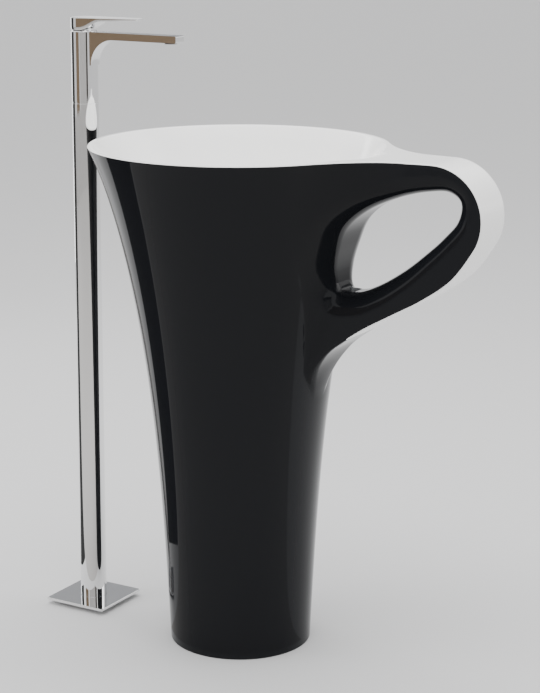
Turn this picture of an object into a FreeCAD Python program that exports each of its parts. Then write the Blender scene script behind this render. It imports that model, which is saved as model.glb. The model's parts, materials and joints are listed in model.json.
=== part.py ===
import FreeCAD, Part
import math
import os
import re

import Sketcher
from FreeCAD import Rotation, Vector

# Pedestal basin shaped as one tall flared vessel with a loop handle, and the floor-standing
# single-lever mixer that fills it. Millimetres. The origin is on the floor, on the basin's
# axis; +Z is up and +X points from the basin towards its handle. The tap stands at -X.

doc = FreeCAD.newDocument("pedestal_sink")
sheet = doc.addObject("Spreadsheet::Sheet", "Sizes")

SIZES = {
    # vessel
    "basin_height": 850, "mouth_radius": 250, "foot_radius": 119.5,
    "wall_taper": 42, "wall_flare": 80, "shell_wall": 7, "skin_thickness": 3,
    # handle
    "handle_length": 208, "handle_end_radius": 86, "handle_half_width": 48,
    "saddle_fillet": 162, "root_fillet": 8, "hole_flare_depth": 14,
    # bowl and its waste
    "bowl_depth": 160, "bowl_wall": 10, "waste_hole_gap": 2, "waste_radius": 22,
    "waste_bore": 18.5, "waste_length": 78, "waste_rim_radius": 34, "waste_rim_height": 3,
    "locknut_height": 9, "washer_height": 3, "guide_drop": 22, "guide_height": 14,
    "plug_radius": 30, "plug_lift": 9, "plug_thickness": 5, "stem_radius": 4, "stem_length": 22,
    # drain
    "tail_radius": 16, "pipe_wall": 1.6, "tail_length": 90, "trap_radius": 30,
    "trap_height": 105, "trap_wall": 2.5, "drain_radius": 20, "drain_reach": 78,
    "drain_bend": 32, "outlet_drop": 32, "nut_height": 20, "inlet_depth": 22,
    "outlet_length": 14, "cup_height": 24, "cup_lap": 16, "nut_wall": 5,
    # foot fixing
    "gasket_height": 1.5, "gasket_width": 9, "gasket_inset": 1, "bracket_inset": 44.5,
    "bracket_length": 53, "bracket_width": 40, "bracket_plate": 4, "bracket_rise": 45,
    "bracket_tab": 3, "bracket_hole_radius": 4.5,
    # tap
    "tap_gap": 60, "column_radius": 23, "column_wall": 2, "column_rise": 49.5,
    "joint_height": 3, "joint_step": 0.6, "mixer_height": 119.5, "spout_reach": 195,
    "spout_width": 25, "spout_height": 12, "web_radius": 45, "outlet_distance": 177,
    "aerator_radius": 10.5, "aerator_depth": 7, "aerator_drop": 2,
    "plate_size": 120, "plate_top": 12, "plate_thickness": 4.4,
    "flange_radius": 50, "flange_height": 6, "flange_pitch_radius": 40,
    "flange_hole_radius": 3.5, "spigot_height": 40, "hose_radius": 4.8, "flange_bore_step": 2.4,
    "hose_nut_radius": 9, "hose_nut_height": 14, "hose_thread_radius": 7.4, "hose_end": 50,
    # cartridge and lever
    "cartridge_radius": 17.5, "cartridge_height": 34, "cartridge_wall": 2, "nut_space": 16,
    "cartridge_floor": 4, "disc_gap": 2.5,
    "disc_height": 4, "carrier_radius": 9.4, "carrier_height": 7, "pivot_drop": 19,
    "pin_radius": 1.6, "spindle_size": 8, "neck_radius": 12.5, "cap_opening": 16,
    "lever_reach": 116, "lever_tip_width": 20, "lever_rise": 24, "blade_thickness": 4,
    "screw_radius": 2.5, "screw_length": 8, "screw_drop": 8,
    # fits
    "fit": 0.15, "gap": 0.3, "pin_clearance": 0.05,
}
for row, (alias, value) in enumerate(SIZES.items(), start=1):
    cell = "B%d" % row
    sheet.set("A%d" % row, alias)
    sheet.set(cell, str(value))
    sheet.setAlias(cell, alias)
doc.recompute()


def size(alias):
    """A driving dimension, read from the sheet."""
    return float(sheet.get(alias))


def formula(text):
    """An expression on the sheet: every alias in the text is looked up there."""
    return re.sub("[a-z_]+", lambda word: "Sizes." + word.group()
                  if word.group() in SIZES else word.group(), text)


nodes = []


def finish(piece, label):
    """Names a finished piece and keeps it for export."""
    piece.Label = label
    nodes.append(piece)
    return piece


def place(piece, at):
    """Ties a piece's place to the sheet. at holds the expressions of x, y and z."""
    for letter, text in zip("xyz", at):
        piece.setExpression("Placement.Base." + letter, formula(text))


def cylinder(label, radius, height, at):
    piece = doc.addObject("Part::Cylinder", label)
    piece.setExpression("Radius", formula(radius))
    piece.setExpression("Height", formula(height))
    place(piece, at)
    return piece


def block(label, length, width, height, at):
    """A box with its lowest corner at the given place."""
    piece = doc.addObject("Part::Box", label)
    piece.setExpression("Length", formula(length))
    piece.setExpression("Width", formula(width))
    piece.setExpression("Height", formula(height))
    place(piece, at)
    return piece


def cut(label, base, *tools):
    for count, tool in enumerate(tools):
        piece = doc.addObject("Part::Cut", "%s_cut%d" % (label, count))
        piece.Base = base
        piece.Tool = tool
        base = piece
    return base


def fuse(label, *pieces):
    piece = doc.addObject("Part::MultiFuse", label + "_fuse")
    piece.Shapes = list(pieces)
    return piece


def sketch_on(body, plane, name):
    """A sketch attached to one of the body's own origin planes."""
    sketch = body.newObject("Sketcher::SketchObject", name)
    origin_plane = [item for item in body.Origin.OriginFeatures if item.Role == plane][0]
    sketch.AttachmentSupport = [(origin_plane, "")]
    sketch.MapMode = "FlatFace"
    return sketch


def outline(sketch, corners):
    """A closed outline through corners given as pairs of expressions. A plain "0" keeps the
    corner on the sketch's axis."""
    count = len(corners)
    for index in range(count):
        angles = [2 * math.pi * (index + step) / count for step in (0, 1)]
        start, end = [Vector(40 + 30 * math.cos(a), 40 + 30 * math.sin(a), 0) for a in angles]
        sketch.addGeometry(Part.LineSegment(start, end), False)
    for index in range(count):
        sketch.addConstraint(Sketcher.Constraint("Coincident", index, 2, (index + 1) % count, 1))
    for index, pair in enumerate(corners):
        for axis, (text, kind) in enumerate(zip(pair, ("DistanceX", "DistanceY"))):
            if text == "0":
                sketch.addConstraint(Sketcher.Constraint("PointOnObject", index, 1, -2 + axis))
            else:
                number = sketch.addConstraint(Sketcher.Constraint(kind, -1, 1, index, 1, 40.0))
                sketch.setExpression("Constraints[%d]" % number, formula(text))


def turned(label, corners, at=("0", "0", "0")):
    """A lathe-turned piece: its outline of (radius, height) corners, turned about its axis."""
    body = doc.addObject("PartDesign::Body", label)
    sketch = sketch_on(body, "XZ_Plane", label + "_outline")
    outline(sketch, corners)
    turn = body.newObject("PartDesign::Revolution", label + "_turn")
    turn.Profile = sketch
    turn.ReferenceAxis = (sketch, ["V_Axis"])
    turn.Angle = 360
    sketch.Visibility = False
    place(body, at)
    return finish(body, label)


def ring(inner, outer, bottom, top):
    """The outline of a plain ring or, with an inner radius of "0", of a disc."""
    return [(inner, bottom), (outer, bottom), (outer, top), (inner, top)]


def shaped(label, shape):
    """A piece whose free-form shape is worked out below from the sheet's sizes."""
    piece = doc.addObject("Part::Feature", label)
    piece.Shape = shape
    return finish(piece, label)


# Places that several groups share, as expressions on the sheet.
TAP_X = "-(mouth_radius + tap_gap)"
TAP = (TAP_X, "0", "0")
FLANGE_BORE = "column_radius - column_wall - gap - flange_bore_step"
BOWL_FLOOR = "basin_height - bowl_depth"
COLUMN_TOP = "(basin_height + column_rise)"
BODY_TOP = "(basin_height + column_rise + joint_height + mixer_height)"
tap_x = -(size("mouth_radius") + size("tap_gap"))
column_top = size("basin_height") + size("column_rise")
body_top = column_top + size("joint_height") + size("mixer_height")
handle_reach = size("mouth_radius") + size("handle_length")

# ---------------------------------------------------------------------------------------
# The vessel. Its wall leans out from the foot and flares faster and faster to the mouth.

height = size("basin_height")
half_width = size("handle_half_width")
skin = size("skin_thickness")
foot_level = size("gasket_height")
LIP_POWER = 16


def outer_radius(level):
    """The outside radius of the vessel at a height above the floor."""
    share = max(level, 0) / height
    lip = size("mouth_radius") - size("foot_radius") - size("wall_taper") - size("wall_flare")
    return (size("foot_radius") + size("wall_taper") * share
            + size("wall_flare") * share ** 3 + lip * share ** LIP_POWER)


def spline(points, **ends):
    curve = Part.BSplineCurve()
    curve.interpolate([Vector(*point) for point in points], **ends)
    return curve.toShape()


def wall_curve(inset, low, high):
    """The wall's line in the XZ plane from low to high, moved towards the axis by inset."""
    steps = 14
    spread = [1 - (1 - step / steps) ** 1.6 for step in range(steps + 1)]
    levels = [low + (high - low) * share for share in spread]
    return spline([(outer_radius(level) - inset, 0, level) for level in levels])


def polyline(points):
    return [Part.LineSegment(Vector(*a), Vector(*b)).toShape()
            for a, b in zip(points, points[1:])]


def revolve(edges):
    wire = Part.Wire(Part.__sortEdges__(edges))
    return Part.Face(wire).revolve(Vector(0, 0, 0), Vector(0, 0, 1), 360)


def vessel_solid(inset, low, high):
    """The solid inside the wall's line, from low to high."""
    top, bottom = outer_radius(high) - inset, outer_radius(low) - inset
    edges = polyline([(top, 0, high), (0, 0, high), (0, 0, low), (bottom, 0, low)])
    return revolve(edges + [wall_curve(inset, low, high)])


vessel = vessel_solid(0, foot_level, height)
cavity = vessel_solid(size("shell_wall"), foot_level, height)


# The handle grows out of the wall. Each level of it is a bar between two flanks, blended
# into the round wall by a hollow fillet that is large at the rim and smaller at the root.

end_x = handle_reach - size("handle_end_radius")
end_z = height - size("handle_end_radius")
ROOT_LEVEL = height * 0.5
BITE = 0.8
FLANK_END = handle_reach + 40


def neck_section(level):
    """The handle's outline in plan at one level."""
    share = (level - ROOT_LEVEL) / (height - ROOT_LEVEL)
    fillet = size("root_fillet") + (size("saddle_fillet") - size("root_fillet")) * share ** 2
    wall = outer_radius(level)
    centre_y = half_width + fillet
    centre_x = math.sqrt((wall + fillet - BITE) ** 2 - centre_y ** 2)
    length = math.hypot(centre_x, centre_y)
    start = Vector(centre_x * (1 - fillet / length), centre_y * (1 - fillet / length), level)
    middle_angle = (math.atan2(-centre_y, -centre_x) - math.pi / 2) / 2
    middle = Vector(centre_x + fillet * math.cos(middle_angle),
                    centre_y + fillet * math.sin(middle_angle), level)
    tangent = Vector(centre_x, half_width, level)
    corner = Vector(FLANK_END, half_width, level)
    inside = Vector(wall / 2, start.y, level)

    def mirrored(point):
        return Vector(point.x, -point.y, point.z)

    one_side = [Part.LineSegment(inside, start), Part.Arc(start, middle, tangent),
                Part.LineSegment(tangent, corner)]
    other_side = [Part.LineSegment(mirrored(corner), mirrored(tangent)),
                  Part.Arc(mirrored(tangent), mirrored(middle), mirrored(start)),
                  Part.LineSegment(mirrored(start), mirrored(inside))]
    closing = [Part.LineSegment(corner, mirrored(corner))]
    last = [Part.LineSegment(mirrored(inside), inside)]
    return Part.Wire([edge.toShape() for edge in one_side + closing + other_side + last])


NECK_LEVELS = 9
neck_levels = [ROOT_LEVEL + (height - ROOT_LEVEL) * step / (NECK_LEVELS - 1)
               for step in range(NECK_LEVELS)]
neck = Part.makeLoft([neck_section(level) for level in neck_levels], True, False)


def stand_off(drop, distance):
    """A point in the XZ plane: its drop below the rim, and its distance from the wall."""
    return (outer_radius(height - drop) + distance, 0, height - drop)


# The handle's side view: level with the rim, round a large end arc and back down a strap
# that runs tangent into the wall. Pairs are (drop below the rim, distance from the wall).
STRAP = [(180, 219), (218, 175), (243, 134), (272, 88)]
TIP = (294, 59)
ROOT = [(318, 38), (340, 25), (364, 14)]
ARC_END = math.radians(-40)
WIDE = half_width + 220


def side_prism(inset, root_shift):
    """All that lies inside the handle's outer edge, with that edge moved in by inset down
    to the strap's tip, and the root below the tip moved out by root_shift."""
    radius = size("handle_end_radius") - inset
    on_arc = [Vector(end_x + radius * math.cos(angle), 0, end_z + radius * math.sin(angle))
              for angle in (math.pi / 2, math.pi / 8, ARC_END)]
    inwards = Vector(-inset * 0.5, 0, inset * 0.85)
    outwards = Vector(root_shift, 0, -root_shift / 2)
    points = [on_arc[2]] + [Vector(*stand_off(*pair)) + inwards for pair in STRAP]
    points += [Vector(*stand_off(*TIP))]
    points += [Vector(*stand_off(*pair)) + outwards for pair in ROOT]
    points += [Vector(outer_radius(ROOT_LEVEL) - 10, 0, ROOT_LEVEL + 8)]
    inner_top = Vector(0, 0, on_arc[0].z)
    inner_bottom = Vector(0, 0, points[-1].z)
    edges = [Part.Arc(*on_arc).toShape(), spline(points)]
    edges += polyline([points[-1], inner_bottom, inner_top, on_arc[0]])
    return across(Part.Face(Part.Wire(edges)), WIDE)


def across(face, half):
    """A face in the XZ plane, pulled through the handle's full width."""
    face.translate(Vector(0, -half, 0))
    return face.extrude(Vector(0, 2 * half, 0))


# The hole for the hand runs along the wall on its inner side. Its mouths are flared.
HOLE = [(222, 17), (190, 8), (152, 7), (117, 10), (84, 34), (58, 82), (42, 132), (39, 176),
        (55, 198), (85, 204), (118, 183), (145, 160), (177, 130), (208, 84), (225, 46)]
MOUTH_SCALE = 1.1
hole_curve = Part.BSplineCurve()
hole_curve.interpolate([Vector(*stand_off(*pair)) for pair in HOLE], PeriodicFlag=True)
hole_wire = Part.Wire(hole_curve.toShape())


def without_hole(shape):
    shape = shape.cut(across(Part.Face(hole_wire), WIDE))
    for side in (-1, 1):
        deep, mouth = hole_wire.copy(), hole_wire.copy()
        mouth.scale(MOUTH_SCALE, hole_wire.CenterOfMass)
        deep.translate(Vector(0, side * (half_width - size("hole_flare_depth")), 0))
        mouth.translate(Vector(0, side * (half_width + 0.5), 0))
        shape = shape.cut(Part.makeLoft([deep, mouth], True, True))
    return shape


def largest(shape):
    return max(shape.Solids, key=lambda solid: solid.Volume)


# The white skin follows the rim and the handle's outer edge and thins out at its tip.
core_prism = side_prism(skin, 2)
handle = without_hole(neck.common(side_prism(0, 0))).cut(vessel)
handle_core = largest(without_hole(neck.common(core_prism)).cut(vessel))
handle_skin = largest(handle.cut(core_prism))
lip = Part.makeBox(2 * WIDE, 2 * WIDE, 2 * skin, Vector(-WIDE, -WIDE, height - skin))
shaped("pedestal_shell", vessel.cut(lip).cut(cavity))
shaped("handle_core", handle_core)
shaped("rim_handle_band", vessel.common(lip).cut(cavity).fuse(handle_skin))

# The bowl hangs in the mouth: its inner face falls steeply, then rounds into a gently
# sloping floor. It is bonded to the inside of the shell down to where the floor turns in.
floor_level = height - size("bowl_depth")
lip_radius = size("mouth_radius") - size("shell_wall") - 2
INSIDE = [(0.955, 0.11), (0.885, 0.33), (0.80, 0.56), (0.685, 0.77), (0.52, 0.91), (0.33, 0.98)]
hole_radius = size("waste_radius") + size("waste_hole_gap")
bowl_inside = [(lip_radius, 0, height)]
bowl_inside += [(lip_radius * share, 0, height - size("bowl_depth") * drop)
                for share, drop in INSIDE]
bowl_inside += [(size("waste_rim_radius") + 2, 0, floor_level)]
floor_edge = (hole_radius, 0, floor_level)
under_edge = (hole_radius, 0, floor_level - size("bowl_wall"))
wall = size("bowl_wall")
under = [(size("waste_rim_radius") + 2, 0, floor_level - wall),
         (lip_radius * 0.33, 0, floor_level + size("bowl_depth") * 0.02 - wall),
         (lip_radius * 0.56, 0, floor_level + size("bowl_depth") * 0.09 - wall),
         (lip_radius * 0.75, 0, floor_level + size("bowl_depth") * 0.26 - wall),
         (lip_radius * 0.90, 0, floor_level + size("bowl_depth") * 0.5 - wall)]
beyond = [under[-1], (size("mouth_radius") + 30, 0, under[-1][2] + 30),
          (size("mouth_radius") + 30, 0, height), (lip_radius, 0, height)]
bowl_edges = [spline(bowl_inside), spline(under)]
bowl_edges += polyline([bowl_inside[-1], floor_edge, under_edge, under[0]]) + polyline(beyond)
shaped("basin_bowl", revolve(bowl_edges).common(cavity))

# ---------------------------------------------------------------------------------------
# Foot: a rubber gasket under the wall, and two steel plates that hold the foot down.

turned("foot_gasket", ring("foot_radius - gasket_inset - gasket_width",
                           "foot_radius - gasket_inset", "0", "gasket_height"))


def bracket(side):
    """A steel angle: a floor plate with a screw hole, and a tab bonded to the wall inside."""
    half, plate = size("bracket_width") / 2, size("bracket_plate")
    hole_y = size("foot_radius") - size("bracket_inset")
    near = hole_y - size("bracket_length") / 2
    wall_y = size("foot_radius") + size("shell_wall")
    base = Part.makeBox(2 * half, size("bracket_length"), plate, Vector(-half, near, 0))
    toe = Part.makeBox(2 * half, wall_y - near, plate - foot_level, Vector(-half, near, foot_level))
    tab = Part.makeBox(2 * half, wall_y, size("bracket_rise"), Vector(-half, 0, foot_level))
    inner = vessel_solid(size("shell_wall") + size("bracket_tab"), foot_level, height)
    angle = base.fuse(toe.common(cavity)).fuse(tab.common(cavity).cut(inner))
    hole = Part.makeCylinder(size("bracket_hole_radius"), plate, Vector(0, hole_y, 0))
    angle = angle.cut(hole).removeSplitter()
    return angle if side > 0 else angle.mirror(Vector(0, 0, 0), Vector(0, 1, 0))


shaped("floor_bracket_front", bracket(-1))
shaped("floor_bracket_back", bracket(1))

# ---------------------------------------------------------------------------------------
# Waste: a flanged brass tube clamped through the bowl's floor, with a plug that clicks
# down to close and up to open.

turned("waste_body", [
    ("waste_bore", "0"), ("waste_radius", "0"), ("waste_radius", "waste_length"),
    ("waste_rim_radius", "waste_length"), ("waste_rim_radius", "waste_length + waste_rim_height"),
    ("waste_bore + waste_rim_height", "waste_length + waste_rim_height"),
    ("waste_bore", "waste_length")], ("0", "0", BOWL_FLOOR + " - waste_length"))
turned("waste_gasket", ring("waste_radius", "waste_rim_radius - 1", "0", "washer_height"),
       ("0", "0", BOWL_FLOOR + " - bowl_wall - washer_height"))
turned("waste_locknut", ring("waste_radius", "waste_rim_radius - 3", "0", "locknut_height"),
       ("0", "0", BOWL_FLOOR + " - bowl_wall - washer_height - locknut_height"))

# The guide is a hub on two arms across the waste's bore; the plug's stem slides in it.
guide_level = BOWL_FLOOR + " - guide_drop"
spider_hub = cylinder("spider_hub", "2 * stem_radius", "guide_height", ("0", "0", guide_level))
spider_arm = block("spider_arm", "2 * waste_bore - gap", "stem_radius", "guide_height / 2",
                   ("-waste_bore + gap / 2", "-stem_radius / 2", guide_level))
spider_bore = cylinder("spider_bore", "stem_radius + pin_clearance", "guide_height",
                       ("0", "0", guide_level))
finish(cut("plug_guide", fuse("plug_guide", spider_hub, spider_arm), spider_bore), "plug_guide")

turned("waste_plug", [
    ("0", "0"), ("stem_radius", "0"), ("stem_radius", "stem_length"),
    ("plug_radius - 2", "stem_length"), ("plug_radius", "stem_length + 2"),
    ("plug_radius - 3", "stem_length + plug_thickness"),
    ("0", "stem_length + plug_thickness + 1")],
    ("0", "0", BOWL_FLOOR + " + waste_rim_height + plug_lift + gap - stem_length"))

# ---------------------------------------------------------------------------------------
# Drain: tailpiece, bottle trap and the pipe down to the floor, all inside the pedestal.

tail_top = BOWL_FLOOR + " - waste_length"
tail_bottom = tail_top + " - tail_length"
turned("tailpiece", [
    ("tail_radius - pipe_wall", "0"), ("tail_radius", "0"),
    ("tail_radius", "tail_length - pipe_wall"), ("waste_radius", "tail_length - pipe_wall"),
    ("waste_radius", "tail_length"),
    ("tail_radius - pipe_wall", "tail_length")], ("0", "0", tail_bottom))
turned("tailpiece_nut", [
    ("tail_radius + fit", "0"), ("waste_radius + nut_wall", "0"),
    ("waste_radius + nut_wall", "nut_height"), ("waste_radius", "nut_height"),
    ("waste_radius", "nut_wall"), ("tail_radius + fit", "nut_wall")],
    ("0", "0", tail_top + " - pipe_wall - fit - nut_wall"))
trap_top = tail_bottom + " + inlet_depth"
turned("trap_bottle", [
    ("trap_radius - trap_wall", "0"), ("trap_radius", "0"), ("trap_radius", "trap_height - 5"),
    ("tail_radius + 6", "trap_height"), ("tail_radius + 6", "trap_height + 16"),
    ("tail_radius + fit", "trap_height + 16"), ("tail_radius + fit", "trap_height - 5"),
    ("trap_radius - trap_wall", "trap_height - 5 - trap_wall")],
    ("0", "0", trap_top + " - trap_height"))
trap = nodes.pop()
outlet_level = trap_top + " - outlet_drop"
outlet_hole = cylinder("trap_outlet_hole", "drain_radius - pipe_wall", "trap_radius + 10",
                       ("0", "0", outlet_level))
outlet_hole.Placement.Rotation = Rotation(Vector(0, 1, 0), -90)
spout_stub = cylinder("trap_outlet_stub", "drain_radius + 2", "trap_radius + outlet_length",
                      ("0", "0", outlet_level))
spout_stub.Placement.Rotation = Rotation(Vector(0, 1, 0), -90)
stub_core = cylinder("trap_stub_core", "trap_radius - trap_wall / 2", "trap_height - 7",
                     ("0", "0", trap_top + " - trap_height + 1"))
stub = cut("trap_stub", spout_stub, stub_core)
finish(cut("trap_body", fuse("trap_body", trap, stub), outlet_hole), "trap_body")
turned("trap_inlet_nut", [
    ("tail_radius + fit", "8"), ("tail_radius + 12", "8"), ("tail_radius + 12", "-10"),
    ("tail_radius + 6", "-10"), ("tail_radius + 6", "4"), ("tail_radius + fit", "4")],
    ("0", "0", trap_top + " + 16"))
turned("trap_inlet_seal", ring("tail_radius + fit / 2", "tail_radius + 5.5", "0", "3.5"),
       ("0", "0", trap_top + " + 16"))
turned("trap_cup", [
    ("0", "0"), ("trap_radius + 4", "0"), ("trap_radius + 4", "cup_height"),
    ("trap_radius", "cup_height"), ("trap_radius", "6"), ("trap_radius - trap_wall", "6"),
    ("trap_radius - trap_wall", "3"),
    ("0", "3")], ("0", "0", trap_top + " - trap_height - cup_height + cup_lap"))
turned("trap_cup_seal", ring("trap_radius - trap_wall", "trap_radius - fit", "0", "2"),
       ("0", "0", trap_top + " - trap_height - 2"))
outlet_nut = turned("outlet_nut", [
    ("drain_radius + fit", "0"), ("drain_radius + 2 + nut_wall", "0"),
    ("drain_radius + 2 + nut_wall", "outlet_length - 2"), ("drain_radius + 2", "outlet_length - 2"),
    ("drain_radius + 2", "2"), ("drain_radius + fit", "2")],
    ("-trap_radius - outlet_length - 2", "0", outlet_level))
outlet_nut.Placement.Rotation = Rotation(Vector(0, 1, 0), 90)

pipe_level = (height - size("bowl_depth") - size("waste_length") - size("tail_length")
              + size("inlet_depth") - size("outlet_drop"))
bend, reach = size("drain_bend"), size("drain_reach")
start = Vector(-size("trap_radius") - size("outlet_length"), 0, pipe_level)
turn_in = Vector(-reach + bend, 0, pipe_level)
turn_out = Vector(-reach, 0, pipe_level - bend)
diagonal = bend * (1 - math.cos(math.pi / 4))
corner = Vector(-reach + diagonal, 0, pipe_level - diagonal)
path = Part.Wire([Part.LineSegment(start, turn_in).toShape(),
                  Part.Arc(turn_in, corner, turn_out).toShape(),
                  Part.LineSegment(turn_out, Vector(-reach, 0, 0)).toShape()])


def pipe(radius):
    circle = Part.Wire(Part.Circle(start, Vector(1, 0, 0), radius).toShape())
    return path.makePipeShell([circle], True, False)


drain = pipe(size("drain_radius")).cut(pipe(size("drain_radius") - size("pipe_wall")))
shaped("drain_pipe", drain)

# ---------------------------------------------------------------------------------------
# Tap foot: a flange screwed to the floor, hidden under a square cover plate.

flange = doc.addObject("PartDesign::Body", "tap_flange")
flange_plan = sketch_on(flange, "XY_Plane", "tap_flange_plan")
for index, text in enumerate(("flange_radius", FLANGE_BORE)):
    circle = flange_plan.addGeometry(Part.Circle(Vector(), Vector(0, 0, 1), 40 - index), False)
    flange_plan.addConstraint(Sketcher.Constraint("Coincident", circle, 3, -1, 1))
    number = flange_plan.addConstraint(Sketcher.Constraint("Radius", circle, 40 - index))
    flange_plan.setExpression("Constraints[%d]" % number, formula(text))
flange_pad = flange.newObject("PartDesign::Pad", "tap_flange_pad")
flange_pad.Profile = flange_plan
flange_pad.setExpression("Length", formula("flange_height"))
doc.recompute()
flange_drill = sketch_on(flange, "XY_Plane", "tap_flange_drill")
circle = flange_drill.addGeometry(Part.Circle(Vector(30, 0, 0), Vector(0, 0, 1), 4), False)
flange_drill.addConstraint(Sketcher.Constraint("PointOnObject", circle, 3, -1))
pitch = flange_drill.addConstraint(Sketcher.Constraint("DistanceX", -1, 1, circle, 3, 30))
flange_drill.setExpression("Constraints[%d]" % pitch, formula("flange_pitch_radius"))
radius = flange_drill.addConstraint(Sketcher.Constraint("Radius", circle, 4))
flange_drill.setExpression("Constraints[%d]" % radius, formula("flange_hole_radius"))
flange_hole = flange.newObject("PartDesign::Pocket", "tap_flange_hole")
flange_hole.Profile = flange_drill
flange_hole.Type = 1
flange_hole.Reversed = True
doc.recompute()
flange_holes = flange.newObject("PartDesign::PolarPattern", "tap_flange_holes")
flange_holes.Originals = [flange_hole]
flange_holes.Axis = (flange_drill, ["N_Axis"])
flange_holes.Angle = 360
flange_holes.Occurrences = 4
flange.Tip = flange_holes
place(flange, TAP)
finish(flange, "tap_flange")

turned("plate_washer", ring("column_radius + 1", "flange_pitch_radius - 6", "flange_height",
                            "plate_top - plate_thickness"), TAP)

cover = doc.addObject("PartDesign::Body", "cover_plate")
cover_plan = sketch_on(cover, "XY_Plane", "cover_plate_plan")
edge = "plate_size / 2"
outline(cover_plan, [(edge, edge), ("-" + edge, edge), ("-" + edge, "-" + edge),
                     (edge, "-" + edge)])
circle = cover_plan.addGeometry(Part.Circle(Vector(), Vector(0, 0, 1), 20), False)
cover_plan.addConstraint(Sketcher.Constraint("Coincident", circle, 3, -1, 1))
radius = cover_plan.addConstraint(Sketcher.Constraint("Radius", circle, 20))
cover_plan.setExpression("Constraints[%d]" % radius, formula("column_radius + fit"))
cover_pad = cover.newObject("PartDesign::Pad", "cover_plate_pad")
cover_pad.Profile = cover_plan
cover_pad.setExpression("Length", formula("plate_thickness"))
place(cover, (TAP_X, "0", "plate_top - plate_thickness"))
finish(cover, "cover_plate")

# ---------------------------------------------------------------------------------------
# Column: a chromed tube over a spigot on the flange, with the two supply hoses inside.

tube_bore = "column_radius - column_wall"
turned("column_spigot", ring(FLANGE_BORE, tube_bore, "flange_height",
                             "flange_height + spigot_height"), TAP)
turned("column_tube", ring(tube_bore, "column_radius", "flange_height", COLUMN_TOP), TAP)
turned("joint_ring", ring(tube_bore + " - 2", "column_radius - joint_step", "0", "joint_height"),
       (TAP_X, "0", COLUMN_TOP))

# The hoses stand side by side, their nuts touching the spigot's bore.
HOSE_OFFSET = "(" + FLANGE_BORE + " - hose_nut_radius)"
HOSE_TOP = COLUMN_TOP + " + hose_end"
for name, side in (("hot", "1"), ("cold", "-1")):
    at = (TAP_X, side + " * " + HOSE_OFFSET, "0")
    turned(name + "_hose", ring("0", "hose_radius", "hose_nut_height", HOSE_TOP), at)
    turned(name + "_hose_nut", [
        ("hose_thread_radius", "0"), ("hose_nut_radius", "0"),
        ("hose_nut_radius", "hose_nut_height"), ("0", "hose_nut_height"),
        ("0", "hose_nut_height - 3"), ("hose_thread_radius", "hose_nut_height - 3")], at)

# ---------------------------------------------------------------------------------------
# Mixer body and spout, one casting. The spout leaves flush with the body's top, and a
# concave web joins its underside to the body.

column = size("column_radius")
body_bottom = column_top + size("joint_height")
spout_half = size("spout_width") / 2
spout_bottom = body_top - size("spout_height")
spout_end = size("spout_reach")
casting = Part.makeCylinder(column, body_top - body_bottom, Vector(0, 0, body_bottom))
bar = Part.makeBox(spout_end, 2 * spout_half, size("spout_height"),
                   Vector(0, -spout_half, spout_bottom))
tip_edges = [edge for edge in bar.Edges
             if all(abs(v.Point.x - spout_end) < 0.01 for v in edge.Vertexes)]
bar = bar.makeChamfer(1.5, tip_edges)
web = size("web_radius")
web_start, web_stop = Vector(column - 1, 0, spout_bottom - web), Vector(column - 1 + web, 0,
                                                                        spout_bottom + 1)
web_middle = Vector(column - 1 + web * (1 - math.cos(math.pi / 4)), 0,
                    spout_bottom - web * (1 - math.sin(math.pi / 4)))
web_edges = [Part.Arc(web_start, web_middle, web_stop).toShape()]
web_edges += polyline([tuple(web_stop), (0, 0, web_stop.z), (0, 0, web_start.z),
                       tuple(web_start)])
web_face = Part.Face(Part.Wire(web_edges))
web_face.translate(Vector(0, -spout_half, 0))
casting = casting.fuse(bar).fuse(web_face.extrude(Vector(0, 2 * spout_half, 0)))
pocket_bottom = body_top - size("cartridge_height") - size("nut_space")
pocket = Part.makeCylinder(size("cartridge_radius") + size("fit"), body_top - pocket_bottom,
                           Vector(0, 0, pocket_bottom))
hose_bore = Part.makeCylinder(column - size("column_wall") - 2, pocket_bottom - 6 - body_bottom,
                              Vector(0, 0, body_bottom))
hose_offset = (column - size("column_wall") - size("gap") - size("flange_bore_step")
               - size("hose_nut_radius"))
outlet_x = size("outlet_distance")
waterway = Part.makeBox(outlet_x - column + 8, 14, 6,
                        Vector(column - 8, -7, spout_bottom + 3))
outlet = Part.makeCylinder(size("aerator_radius"), size("aerator_depth"),
                           Vector(outlet_x, 0, spout_bottom))
casting = casting.cut(pocket).cut(hose_bore).cut(waterway).cut(outlet)
for side in (-1, 1):
    casting = casting.cut(Part.makeCylinder(
        3, 10, Vector(0, side * hose_offset, pocket_bottom - 8)))
casting = casting.removeSplitter()
casting.translate(Vector(tap_x, 0, 0))
shaped("mixer_body", casting)

OUTLET = (TAP_X + " + outlet_distance", "0", BODY_TOP + " - spout_height - aerator_drop")
turned("aerator_housing", ring("aerator_radius - 2.5", "aerator_radius - fit", "0",
                               "aerator_drop + aerator_depth - 1.5"), OUTLET)
turned("aerator_screen", ring("0", "aerator_radius - 2.6", "1", "aerator_drop + 3"), OUTLET)
turned("aerator_washer", ring("aerator_radius - 3", "aerator_radius - fit",
                              "aerator_drop + aerator_depth - 1.5",
                              "aerator_drop + aerator_depth"), OUTLET)

# ---------------------------------------------------------------------------------------
# Cartridge. The lever's spindle tilts on a pin in the rotor; its lower end slides the
# moving disc over the fixed disc, and turning the lever turns rotor and disc together.

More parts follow.
